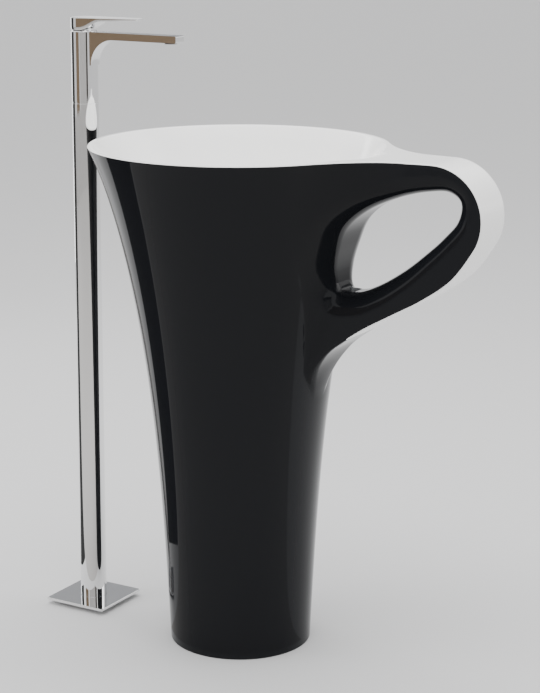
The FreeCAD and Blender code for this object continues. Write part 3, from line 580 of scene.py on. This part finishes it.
def close_casting(points, normals, faces, rim_loop, foot_loop):
    """Adds the land under the white face, the hollow's wall and the foot, so that the casting
    is one closed shell."""
    inner = HEIGHT - EDGE
    on_ring = [points[v, 0] < FORK and points[v, 2] > HEIGHT - RIM_DEPTH for v in rim_loop]
    start = next(i for i in range(len(rim_loop)) if on_ring[i] and not on_ring[i - 1])
    rim_loop = rim_loop[start:] + rim_loop[:start]
    count = sum(on_ring)
    ring, rest = rim_loop[:count], rim_loop[count:]
    angles = list(np.arctan2(points[ring, 1], points[ring, 0]))
    front = np.linspace(angles[-1], angles[0], 14)[1:-1]
    angles += list(front)
    points, normals = list(points), list(normals)

    def hollow_ring(level):
        """One ring of the hollow's wall, as vertex numbers."""
        thin = level > THIN_ABOVE
        radius = float(wall_radius(level)) - (THIN_WALL if thin else SHELL_WALL)
        first = len(points)
        for angle in angles:
            sunk = LAND_DROP * math.exp(-(angle / SADDLE_ANGLE) ** 6) if thin else 0
            points.append(np.array([radius * math.cos(angle), radius * math.sin(angle),
                                    level - sunk]))
            normals.append(np.array([-math.cos(angle), -math.sin(angle), 0]))
        return list(range(first, len(points)))

    top = hollow_ring(inner)
    for i in range(count - 1):
        faces.append([ring[i], ring[i + 1], top[i + 1], top[i]])
    faces.append([ring[-1], ring[0], top[0]] + top[count:][::-1] + [top[count - 1]])
    ladder = [ring[-1]] + rest + [ring[0]]
    tip = int(np.argmin([abs(points[v][1]) + (points[v][2] > 0.6) for v in ladder]))
    near_side, far_side = ladder[:tip + 1], ladder[tip:][::-1]
    along = [[math.atan2(points[v][2] - end_centre[1] + 0.02, points[v][0] - 0.30)
              for v in side] for side in (near_side, far_side)]
    along = [list(np.maximum.accumulate(-np.array(angles))) for angles in along]
    faces += zip_loops(near_side, far_side, *along)
    above = top
    for level in (0.83, 0.80, 0.75, 0.68, 0.58, 0.45, 0.30, 0.15, FOOT_LEVEL):
        below = hollow_ring(level)
        for i in range(len(above)):
            j = (i + 1) % len(above)
            faces.append([above[i], above[j], below[j], below[i]])
        above = below
    inside = above[::-1]

    def far_round(v, turn):
        """How far round the axis a vertex lies from the foot's first one."""
        (x, y), (x0, y0) = points[v][:2], points[foot_loop[0]][:2]
        return ((math.atan2(y, x) - math.atan2(y0, x0)) * turn) % (2 * math.pi)

    turn = 1 if far_round(foot_loop[1], 1) < math.pi else -1
    shift = int(np.argmin([far_round(v, turn) for v in inside]))
    inside = inside[shift:] + inside[:shift]
    outer_far = [far_round(v, turn) for v in foot_loop] + [2 * math.pi]
    inner_far = [far_round(v, turn) for v in inside]
    inner_far.append(inner_far[0] + 2 * math.pi)
    faces += zip_loops(foot_loop + foot_loop[:1], inside + inside[:1], outer_far, inner_far)
    return np.array(points), np.array(normals), faces


points, normals, faces = close_casting(points, normals, faces, rim_loop, foot_loop)
black_body = add_mesh("black_casting", points, faces, black_lacquer, normals)
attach(black_body, "stand")
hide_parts("pedestal_shell", "handle_core")

# ======================================================================= White bowl and rim
# The bowl, the flat lip of the mouth and the broad band round the outside of the handle are
# one gloss white face. It meets the black casting in a fine rounded edge, and ends in a
# straight tip low on the handle.

MOUTH_INSIDE = 0.241
BOWL_DEPTH, BOWL_WALL = 0.160, 0.005
WASTE_HOLE = 0.024
BOND_GAP = 0.0002
STEPS_ROUND = 4
# The lip's inner edge is this soft all round, and softer by the second amount where it meets
# the handle. The face under the lip drops there as well.
LIP_SOFT, SADDLE_SOFT, SOFT_ANGLE = 0.003, 0.020, 0.25
UNDER_DROP = 0.010


def plan_outline(angle):
    """Where a ray from the axis leaves the casting, just below the rim."""
    near, far = np.full(angle.shape, 0.22), np.full(angle.shape, 0.40)
    level = np.full(angle.shape, HEIGHT - EDGE)
    for _ in range(40):
        middle = (near + far) / 2
        out = black_field(middle * np.cos(angle), middle * np.sin(angle), level) > 0
        near, far = np.where(out, near, middle), np.where(out, middle, far)
    return np.column_stack([near * np.cos(angle), near * np.sin(angle)])


fork_half = float(handle_half_width(np.array(FORK)))
fork_angle = math.atan2(fork_half, FORK)
ring_angles = np.linspace(fork_angle, 2 * math.pi - fork_angle, 240)
wedge_angles = np.linspace(-fork_angle, fork_angle, 15)[1:-1]
outline = plan_outline(ring_angles)
outline[0], outline[-1] = (FORK, fork_half), (FORK, -fork_half)
probe = 1e-4
level = np.full(len(outline), HEIGHT - EDGE)
slope = np.column_stack([
    black_field(outline[:, 0] + dx, outline[:, 1] + dy, level)
    - black_field(outline[:, 0] - dx, outline[:, 1] - dy, level)
    for dx, dy in ((probe, 0), (0, probe))])
slope /= np.linalg.norm(slope, axis=1)[:, None]
top_edge = outline - slope * EDGE

# The inside of the bowl: a lip that is soft towards the handle, a steep side and a floor.
INSIDE = [(0.955, 0.11), (0.885, 0.33), (0.80, 0.56), (0.685, 0.77), (0.52, 0.91),
          (0.33, 0.98), (0.15, 1.0)]
side_curve = smooth_curve([(MOUTH_INSIDE * a, HEIGHT - BOWL_DEPTH * b) for a, b in INSIDE], 40)
lean = np.array([MOUTH_INSIDE, HEIGHT]) - side_curve[0]
lean /= np.linalg.norm(lean)
UNDER = [(WASTE_HOLE, 0.680), (0.036, 0.680), (0.0795, 0.683), (0.135, 0.694), (0.181, 0.7216),
         (0.210, 0.750)]
UNDER_END = 0.775


def bowl_chain(angle, outer_top, outer_low):
    """One slice of the white body, from its top outer edge over the lip, down the bowl, round
    the waste hole and back up underneath."""
    turned = (angle + math.pi) % (2 * math.pi) - math.pi
    soft = LIP_SOFT + SADDLE_SOFT * math.exp(-(turned / SOFT_ANGLE) ** 4)
    under_lip = HEIGHT - EDGE - UNDER_DROP * math.exp(-(turned / SADDLE_ANGLE) ** 6)
    lip_start = np.array([MOUTH_INSIDE + soft, HEIGHT])
    corner = np.array([MOUTH_INSIDE, HEIGHT])
    lip_end = corner - lean * min(soft, np.linalg.norm(side_curve[0] - corner) * 0.9)
    lip = [(1 - s) ** 2 * lip_start + 2 * s * (1 - s) * corner + s * s * lip_end
           for s in np.linspace(0, 1, 9)]
    hole = [(WASTE_HOLE, HEIGHT - BOWL_DEPTH), (WASTE_HOLE, HEIGHT - BOWL_DEPTH - BOWL_WALL)]
    wall = [(float(wall_radius(z)) - SHELL_WALL - BOND_GAP, z)
            for z in np.linspace(UNDER_END, under_lip, 5)]
    slice_points = np.vstack([lip, side_curve, hole, np.array(UNDER), wall])
    ray = np.array([math.cos(angle), math.sin(angle)])
    chain = [np.append(ray * r, z) for r, z in slice_points]
    top = np.array([*outer_top, HEIGHT])
    bottom = np.array([*outer_low, HEIGHT - EDGE])
    land = [top + (chain[0] - top) * s for s in np.linspace(0, 1, 7)[:-1]]
    below = [chain[-1] + (bottom - chain[-1]) * s for s in np.linspace(0, 1, 4)[1:]]
    return land + chain + below


white_points, white_faces = [], []


def add_points(places):
    """Adds places to the white body and returns their vertex numbers."""
    first = len(white_points)
    white_points.extend(places)
    return list(range(first, len(white_points)))


chains, rounds = [], []
for angle, low, high, out in zip(ring_angles, outline, top_edge, slope):
    chains.append(add_points(bowl_chain(angle, high, low)))
    arc_points = []
    for step in range(1, STEPS_ROUND):
        turn = step / STEPS_ROUND * math.pi / 2
        flat = low - out * EDGE * (1 - math.cos(turn))
        arc_points.append(np.array([*flat, HEIGHT - EDGE + EDGE * math.sin(turn)]))
    rounds.append(chains[-1][-1:] + add_points(arc_points) + chains[-1][:1])
for angle in wedge_angles:
    cross = (FORK, FORK * math.tan(angle))
    chains.append(add_points(bowl_chain(angle, cross, cross)))
for one, other in [*zip(chains, chains[1:] + chains[:1]), *zip(rounds, rounds[1:])]:
    for a in range(len(one) - 1):
        white_faces.append([one[a], one[a + 1], other[a + 1], other[a]])

# The band: its cross-section is carried along the handle's outer edge to the tip.
path_start = np.searchsorted(outer_edge[:20, 0], FORK) if FORK < outer_edge[19, 0] else 20
walk = outer_edge[path_start:tip_index + 1]
walk = np.vstack([[FORK, HEIGHT], walk])
length = np.concatenate([[0], np.cumsum(np.linalg.norm(np.diff(walk, axis=0), axis=1))])
stations = np.linspace(0, length[-1], 110)
walk = np.column_stack([np.interp(stations, length, walk[:, axis]) for axis in (0, 1)])
heading = np.gradient(walk, axis=0)
heading[0] = (1, 0)
heading[-1] = tip_heading
heading /= np.linalg.norm(heading, axis=1)[:, None]
outward = np.column_stack([-heading[:, 1], heading[:, 0]])
wedge = chains[len(ring_angles):]
near_round, far_round = rounds[-1], rounds[0]
loop = (near_round + [chain[0] for chain in wedge] + far_round[::-1]
        + [chain[-1] for chain in wedge][::-1])
across_share = [math.tan(angle) / math.tan(fork_angle) for angle in wedge_angles]
for index in range(1, len(walk)):
    half = float(handle_half_width(walk[index][0]))
    section = []
    for step in range(STEPS_ROUND + 1):
        turn = step / STEPS_ROUND * math.pi / 2
        section.append((-half + EDGE * (1 - math.cos(turn)), EDGE * (1 - math.sin(turn))))
    section += [(share * half, 0) for share in across_share]
    section += [(-y, depth) for y, depth in section[STEPS_ROUND::-1]]
    section += [(share * half, EDGE) for share in across_share[::-1]]
    places = [np.array([walk[index][0] - outward[index][0] * depth, y,
                        walk[index][1] - outward[index][1] * depth]) for y, depth in section]
    fresh = add_points(places)
    for a in range(len(loop)):
        b = (a + 1) % len(loop)
        white_faces.append([loop[a], fresh[a], fresh[b], loop[b]])
    loop = fresh
white_faces.append(loop[::-1])

white_glaze = finished_material("white_glaze", (0.90, 0.897, 0.885), (0.93, 0.927, 0.917),
                                (0.10, 0.17), clouds=4.0, grain=120.0, bump=0.02)


def outward_faces(piece):
    """Turns every face of a closed piece outwards."""
    solid = bmesh.new()
    solid.from_mesh(piece.data)
    bmesh.ops.recalc_face_normals(solid, faces=solid.faces)
    solid.to_mesh(piece.data)
    solid.free()


white_body = add_mesh("white_bowl", white_points, white_faces, white_glaze)
outward_faces(white_body)
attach(white_body, "stand")
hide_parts("rim_handle_band", "basin_bowl")

# ===================================================================== Cover plate of the tap
# A square chromed plate, 120 mm across and 4.4 mm thick, slides down the column and hides the
# screwed flange. It stands a little off the floor, with softly broken edges.

polished_chrome = finished_material("polished_chrome", (0.80, 0.80, 0.805), (0.84, 0.84, 0.84),
                                    (0.02, 0.05), clouds=14.0, grain=300.0, bump=0.012,
                                    metallic=1.0)
plate_low, plate_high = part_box("cover_plate")
COLUMN_X = (plate_low.x + plate_high.x) / 2
COLUMN_RADIUS = 0.023
PLATE_BEVEL = 0.0009


def square_ring(half, angle):
    """A point on a square's outline with well rounded corners, at an angle from its middle."""
    c, s = math.cos(angle), math.sin(angle)
    power = 60
    reach = half / (abs(c) ** power + abs(s) ** power) ** (1 / power)
    return reach * c, reach * s


def applied(piece):
    """Makes the result of a piece's modifiers its mesh."""
    graph = bpy.context.evaluated_depsgraph_get()
    mesh = bpy.data.meshes.new_from_object(piece.evaluated_get(graph))
    piece.modifiers.clear()
    piece.data = mesh


def even_normals(piece):
    """Broad flat faces shade flat, and only the small bevels between them turn."""
    change = piece.modifiers.new("normals", "WEIGHTED_NORMAL")
    change.keep_sharp = True
    change.weight = 90
    applied(piece)


def closed_rings(name, rings, material):
    """A ring-shaped piece from cross-sections that follow one another round the profile."""
    count = len(rings[0])
    places = [point for one in rings for point in one]
    faces = []
    for r in range(len(rings)):
        after = (r + 1) % len(rings)
        for i in range(count):
            j = (i + 1) % count
            faces.append([r * count + i, r * count + j, after * count + j, after * count + i])
    piece = add_mesh(name, places, faces, material)
    outward_faces(piece)
    piece.data.set_sharp_from_angle(angle=math.radians(50))
    even_normals(piece)
    return piece


half = (plate_high.x - plate_low.x) / 2
bore = COLUMN_RADIUS + 0.00015
plate_profile = [("round", bore, plate_high.z - 0.0004), ("round", bore + 0.0004, plate_high.z)]
plate_profile += [("square", half - PLATE_BEVEL, plate_high.z),
                  ("square", half - PLATE_BEVEL * 0.3, plate_high.z - PLATE_BEVEL * 0.3),
                  ("square", half, plate_high.z - PLATE_BEVEL),
                  ("square", half, plate_low.z + PLATE_BEVEL * 0.5),
                  ("square", half - PLATE_BEVEL * 0.5, plate_low.z),
                  ("round", bore, plate_low.z)]
rings = []
for kind, reach, level in plate_profile:
    ring_points = []
    for angle in np.linspace(0, 2 * math.pi, 160, endpoint=False):
        x, y = (square_ring(reach, angle) if kind == "square"
                else (reach * math.cos(angle), reach * math.sin(angle)))
        ring_points.append((COLUMN_X + x, y, level))
    rings.append(ring_points)
plate = closed_rings("tap_cover_plate", rings, polished_chrome)
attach(plate, "stand")
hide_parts("cover_plate")

# =============================================================================== Column tube
# A chromed brass tube 46 mm across carries the mixer at the height of the rim and more. The
# slightly thinner ring between the two keeps its own shape.

ring_low, ring_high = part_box("joint_ring")
tube_low, tube_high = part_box("column_tube")


def turned_piece(name, profile, centre_x, material, steps=96):
    """A ring turned about the tap's upright axis from (radius, height) corners."""
    rings = [[(centre_x + radius * math.cos(a), radius * math.sin(a), level)
              for a in np.linspace(0, 2 * math.pi, steps, endpoint=False)]
             for radius, level in profile]
    return closed_rings(name, rings, material)


tube = turned_piece("tap_column", [
    (COLUMN_RADIUS - 0.002, tube_low.z), (COLUMN_RADIUS, tube_low.z),
    (COLUMN_RADIUS, tube_high.z - 0.0005), (COLUMN_RADIUS - 0.00015, tube_high.z - 0.00015),
    (COLUMN_RADIUS - 0.0005, tube_high.z), (COLUMN_RADIUS - 0.002, tube_high.z)],
    COLUMN_X, polished_chrome)
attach(tube, "stand")
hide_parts("column_tube")

# ==================================================================== Mixer body and spout
# One brass casting, polished and chromed: a round body as thick as the column, a flat bar
# spout flush with its top, and a hollow-backed web that carries the spout.

body_low, body_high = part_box("mixer_body")
SPOUT_HALF, SPOUT_THICK, WEB_RADIUS = 0.0125, 0.012, 0.045
# Radius of each bore, and how far it reaches: the first two are counted from the body's top,
# and the last from the spout's underside.
CARTRIDGE_BORE, CARTRIDGE_REACH = 0.01765, 0.050
HOSE_BORE, HOSE_BORE_TOP = 0.019, 0.056
AERATOR_BORE, AERATOR_REACH = 0.0105, 0.007


def block_from_outline(name, outline, half_width, material):
    """An upright slab: an outline in the XZ plane, thickened to both sides."""
    count = len(outline)
    places = [(x, -half_width, z) for x, z in outline] + [(x, half_width, z) for x, z in outline]
    faces = [list(range(count)), list(range(count, 2 * count))[::-1]]
    faces += [[i, (i + 1) % count, count + (i + 1) % count, count + i] for i in range(count)]
    piece = add_mesh(name, places, faces, material)
    outward_faces(piece)
    return piece


def rod(name, radius, low, high, x, steps=96):
    """An upright cylinder between two heights."""
    bpy.ops.mesh.primitive_cylinder_add(vertices=steps, radius=radius, depth=high - low,
                                        location=(x, 0, (low + high) / 2))
    piece = bpy.context.object
    piece.name = name
    piece.data.transform(piece.matrix_world)
    piece.matrix_world = Matrix.Identity(4)
    return piece


def combine(piece, tool, operation):
    """Joins a helper solid to a piece, or cuts it out, and removes the helper."""
    change = piece.modifiers.new(operation, "BOOLEAN")
    change.operation, change.object, change.solver = operation, tool, "EXACT"
    applied(piece)
    bpy.data.objects.remove(tool)


mixer = rod("mixer_casting", COLUMN_RADIUS, body_low.z, body_high.z, COLUMN_X)
mixer.data.materials.append(polished_chrome)
spout_bottom = body_high.z - SPOUT_THICK
web_x = COLUMN_X + COLUMN_RADIUS - 0.001
web = [(web_x + WEB_RADIUS * (1 - math.cos(a)), spout_bottom - WEB_RADIUS * (1 - math.sin(a)))
       for a in np.radians(np.linspace(0, 88, 28))]
side = web + [(body_high.x - 0.0022, spout_bottom), (body_high.x - 0.0008, spout_bottom + 0.0006),
              (body_high.x, spout_bottom + 0.0024), (body_high.x, body_high.z - 0.0016),
              (body_high.x - 0.0006, body_high.z - 0.0004), (body_high.x - 0.0020, body_high.z),
              (COLUMN_X, body_high.z), (COLUMN_X, spout_bottom - WEB_RADIUS)]
spout = block_from_outline("spout", side, SPOUT_HALF, polished_chrome)
combine(mixer, spout, "UNION")
combine(mixer, rod("cartridge_pocket", CARTRIDGE_BORE, body_high.z - CARTRIDGE_REACH,
                   body_high.z + 0.01, COLUMN_X), "DIFFERENCE")
combine(mixer, rod("hose_bore", HOSE_BORE, body_low.z - 0.01, body_high.z - HOSE_BORE_TOP,
                   COLUMN_X), "DIFFERENCE")
aerator_low, aerator_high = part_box("aerator_housing")
aerator_x = (aerator_low.x + aerator_high.x) / 2
combine(mixer, rod("aerator_seat", AERATOR_BORE, spout_bottom - 0.002,
                   spout_bottom + AERATOR_REACH, aerator_x, 64), "DIFFERENCE")
softened = mixer.modifiers.new("edges", "BEVEL")
softened.width, softened.segments, softened.limit_method = 0.0006, 2, "ANGLE"
softened.angle_limit = math.radians(40)
applied(mixer)
mixer.data.shade_smooth()
mixer.data.set_sharp_from_angle(angle=math.radians(32))
outward_faces(mixer)
even_normals(mixer)
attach(mixer, "stand")
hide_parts("mixer_body")

# ================================================================================== Lever
# A chromed lever: a round head over the cartridge that runs out into a thin blade. The head's
# underside is hollowed to roll over the domed cap, and sweeps up in an S to the blade.

lever_low, lever_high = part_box("lever_handle")
PIVOT_DROP, LEVER_RISE, TIP_HALF = 0.019, 0.0015, 0.010
pivot_level = body_high.z - PIVOT_DROP
HEAD_BOTTOM = lever_low.z
LEVER_TOP = lever_high.z - LEVER_RISE
# The underside keeps this far from the pivot, so that it clears the casting as it tilts.
ROLL = 0.0303


def lever_bottom(x):
    """The underside's height along the lever, counted from the column's axis."""
    rise = blend(0.004, 0.047, x) * (LEVER_TOP - 0.0046 - HEAD_BOTTOM)
    return HEAD_BOTTOM + rise + 0.0030 * blend(0.045, 0.114, x)


def lever_half(x, reach):
    """Half the lever's width in plan: round behind the axis, tapering straight to the tip."""
    back = np.sqrt(np.maximum(COLUMN_RADIUS ** 2 - np.minimum(x, 0) ** 2, 0))
    front = COLUMN_RADIUS + (TIP_HALF - COLUMN_RADIUS) * x / reach
    return np.where(x < 0, back, front)


lever_reach = lever_high.x - COLUMN_X
corner_radius = 0.003
plan = [(COLUMN_RADIUS * math.cos(a), COLUMN_RADIUS * math.sin(a))
        for a in np.radians(np.linspace(180, 92, 24))]
plan += [(x, float(lever_half(np.array(x), lever_reach)))
         for x in np.linspace(0, lever_reach - corner_radius, 40)]
plan += [(lever_reach - corner_radius + corner_radius * math.sin(a),
          TIP_HALF - corner_radius * (1 - math.cos(a))) for a in np.radians((25, 50, 75, 90))]
plan = np.array(plan)
plan_slope = np.gradient(plan, axis=0)
plan_slope /= np.linalg.norm(plan_slope, axis=1)[:, None]
plan_out = np.column_stack([-plan_slope[:, 1], plan_slope[:, 0]])
plan_out[0] = (-1, 0)
plan_out[-1] = (1, 0)


def lever_ring(inset, level):
    """The half outline of the lever moved in by inset, at the heights that level gives."""
    moved = plan - plan_out * np.minimum(inset, np.maximum(plan[:, 1:2], 0.0) + 1e-9 + inset
                                         * (np.abs(plan_out[:, :1]) > 0.9))
    moved[0, 1] = moved[-1, 1] = 0.0
    moved[:, 1] = np.maximum(moved[:, 1], 0.0)
    return np.column_stack([moved, level(moved)])


def top_level(drop):
    """The height of the lever's gently rising top, less a drop."""
    return lambda flat: LEVER_TOP + LEVER_RISE * np.clip(flat[:, 0] / lever_reach, 0, 1) - drop


def low_level(rise):
    """The height of the lever's underside, raised near its edge and rolled over the pivot."""
    def level(flat):
        floor_line = lever_bottom(flat[:, 0])
        near = np.hypot(flat[:, 0], flat[:, 1])
        rolled = pivot_level + np.sqrt(np.maximum(ROLL ** 2 - near ** 2, 0))
        return np.maximum(np.minimum(floor_line + rise, top_level(0.0009)(flat)), rolled)
    return level


narrowing = 0.0006 * (1 - blend(0.0, 0.05, plan[:, 0:1]))
sections = [lever_ring(0.0012, top_level(0.0)), lever_ring(0.0004, top_level(0.0003)),
            lever_ring(0.0, top_level(0.0010)),
            lever_ring(0.0, low_level(0.0055)), lever_ring(narrowing, low_level(0.0006)),
            lever_ring(0.0005 + narrowing, low_level(0.0))]
lever_points, lever_faces = [], []
half_rings = []
for section in sections:
    first = len(lever_points)
    lever_points.extend(section)
    half_rings.append((first, len(section)))
mirror_start = len(lever_points)
lever_points.extend([point * np.array([1, -1, 1]) for point in list(lever_points)])


def both(a, b, c, d):
    """Adds a face and its mirror image."""
    lever_faces.append([a, b, c, d])
    lever_faces.append([mirror_start + d, mirror_start + c, mirror_start + b, mirror_start + a])


for (one, count), (other, _) in zip(half_rings, half_rings[1:]):
    for i in range(count - 1):
        both(one + i, one + i + 1, other + i + 1, other + i)
ACROSS = 14
for which, (first, count) in ((0, half_rings[0]), (1, half_rings[-1])):
    rows = []
    for i in range(count):
        left = np.array(lever_points[first + i])
        row = [first + i]
        for share in np.linspace(1, -1, ACROSS + 1)[1:-1]:
            spot = left * np.array([1, share, 1])
            if which:
                near = math.hypot(spot[0], spot[1])
                if near < ROLL:
                    spot[2] = max(spot[2], pivot_level + math.sqrt(ROLL ** 2 - near ** 2))
            lever_points.append(spot)
            row.append(len(lever_points) - 1)
        row.append(mirror_start + first + i)
        rows.append(row)
    for one, other in zip(rows, rows[1:]):
        for i in range(ACROSS):
            lever_faces.append([one[i], one[i + 1], other[i + 1], other[i]])
lever_points = [np.array([COLUMN_X + x, y, z]) for x, y, z in lever_points]
lever = add_mesh("tap_lever", lever_points, lever_faces, polished_chrome)
solid = bmesh.new()
solid.from_mesh(lever.data)
bmesh.ops.remove_doubles(solid, verts=solid.verts, dist=2e-6)
bmesh.ops.dissolve_degenerate(solid, edges=solid.edges, dist=1e-6)
solid.to_mesh(lever.data)
solid.free()
outward_faces(lever)
lever.data.set_sharp_from_angle(angle=math.radians(50))
even_normals(lever)
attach(lever, "lever")
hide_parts("lever_handle")

# ============================================================== Fittings left as they are
# The small turned and moulded pieces keep their shapes. Each takes the finish that its real
# counterpart has: plated, brushed, machined, moulded or braided.

CAD_FINISHES = {
    "chrome": polished_chrome,
    "steel": finished_material("plain_stainless", (0.50, 0.50, 0.49), (0.58, 0.58, 0.57),
                               (0.24, 0.38), clouds=30.0, grain=900.0, bump=0.15, metallic=1.0),
    "brass": finished_material("machined_brass", (0.62, 0.44, 0.19), (0.72, 0.54, 0.26),
                               (0.20, 0.34), clouds=40.0, grain=900.0, bump=0.12, metallic=1.0),
    "rubber": finished_material("black_rubber", (0.020, 0.020, 0.020), (0.035, 0.034, 0.033),
                                (0.50, 0.72), clouds=25.0, grain=700.0, bump=0.2),
    "plastic": finished_material("pale_moulding", (0.62, 0.62, 0.60), (0.68, 0.68, 0.66),
                                 (0.34, 0.48), clouds=18.0, grain=600.0, bump=0.1),
    "black_plastic": finished_material("black_moulding", (0.012, 0.012, 0.012),
                                       (0.020, 0.020, 0.021), (0.32, 0.46), clouds=30.0,
                                       grain=700.0, bump=0.1),
    "index_plastic": finished_material("grey_plug", (0.17, 0.17, 0.18), (0.20, 0.20, 0.21),
                                       (0.18, 0.28), clouds=60.0, grain=700.0, bump=0.05),
    "hose": finished_material("braided_hose", (0.24, 0.24, 0.25), (0.46, 0.46, 0.47),
                              (0.28, 0.50), clouds=500.0, grain=900.0, bump=0.6, metallic=0.8),
    "disc_ceramic": finished_material("ground_ceramic", (0.74, 0.72, 0.67), (0.80, 0.78, 0.73),
                                      (0.16, 0.26), clouds=50.0, grain=900.0, bump=0.04),
    "black_gloss": black_lacquer,
    "white_gloss": white_glaze,
}
for entry in frame["record"]["subparts"]:
    node = frame["nodes"][entry["node"]]
    finish = CAD_FINISHES[entry["material_slot"]]
    if not node.data.materials:
        node.data.materials.append(finish)
    for index in range(len(node.data.materials)):
        node.data.materials[index] = finish
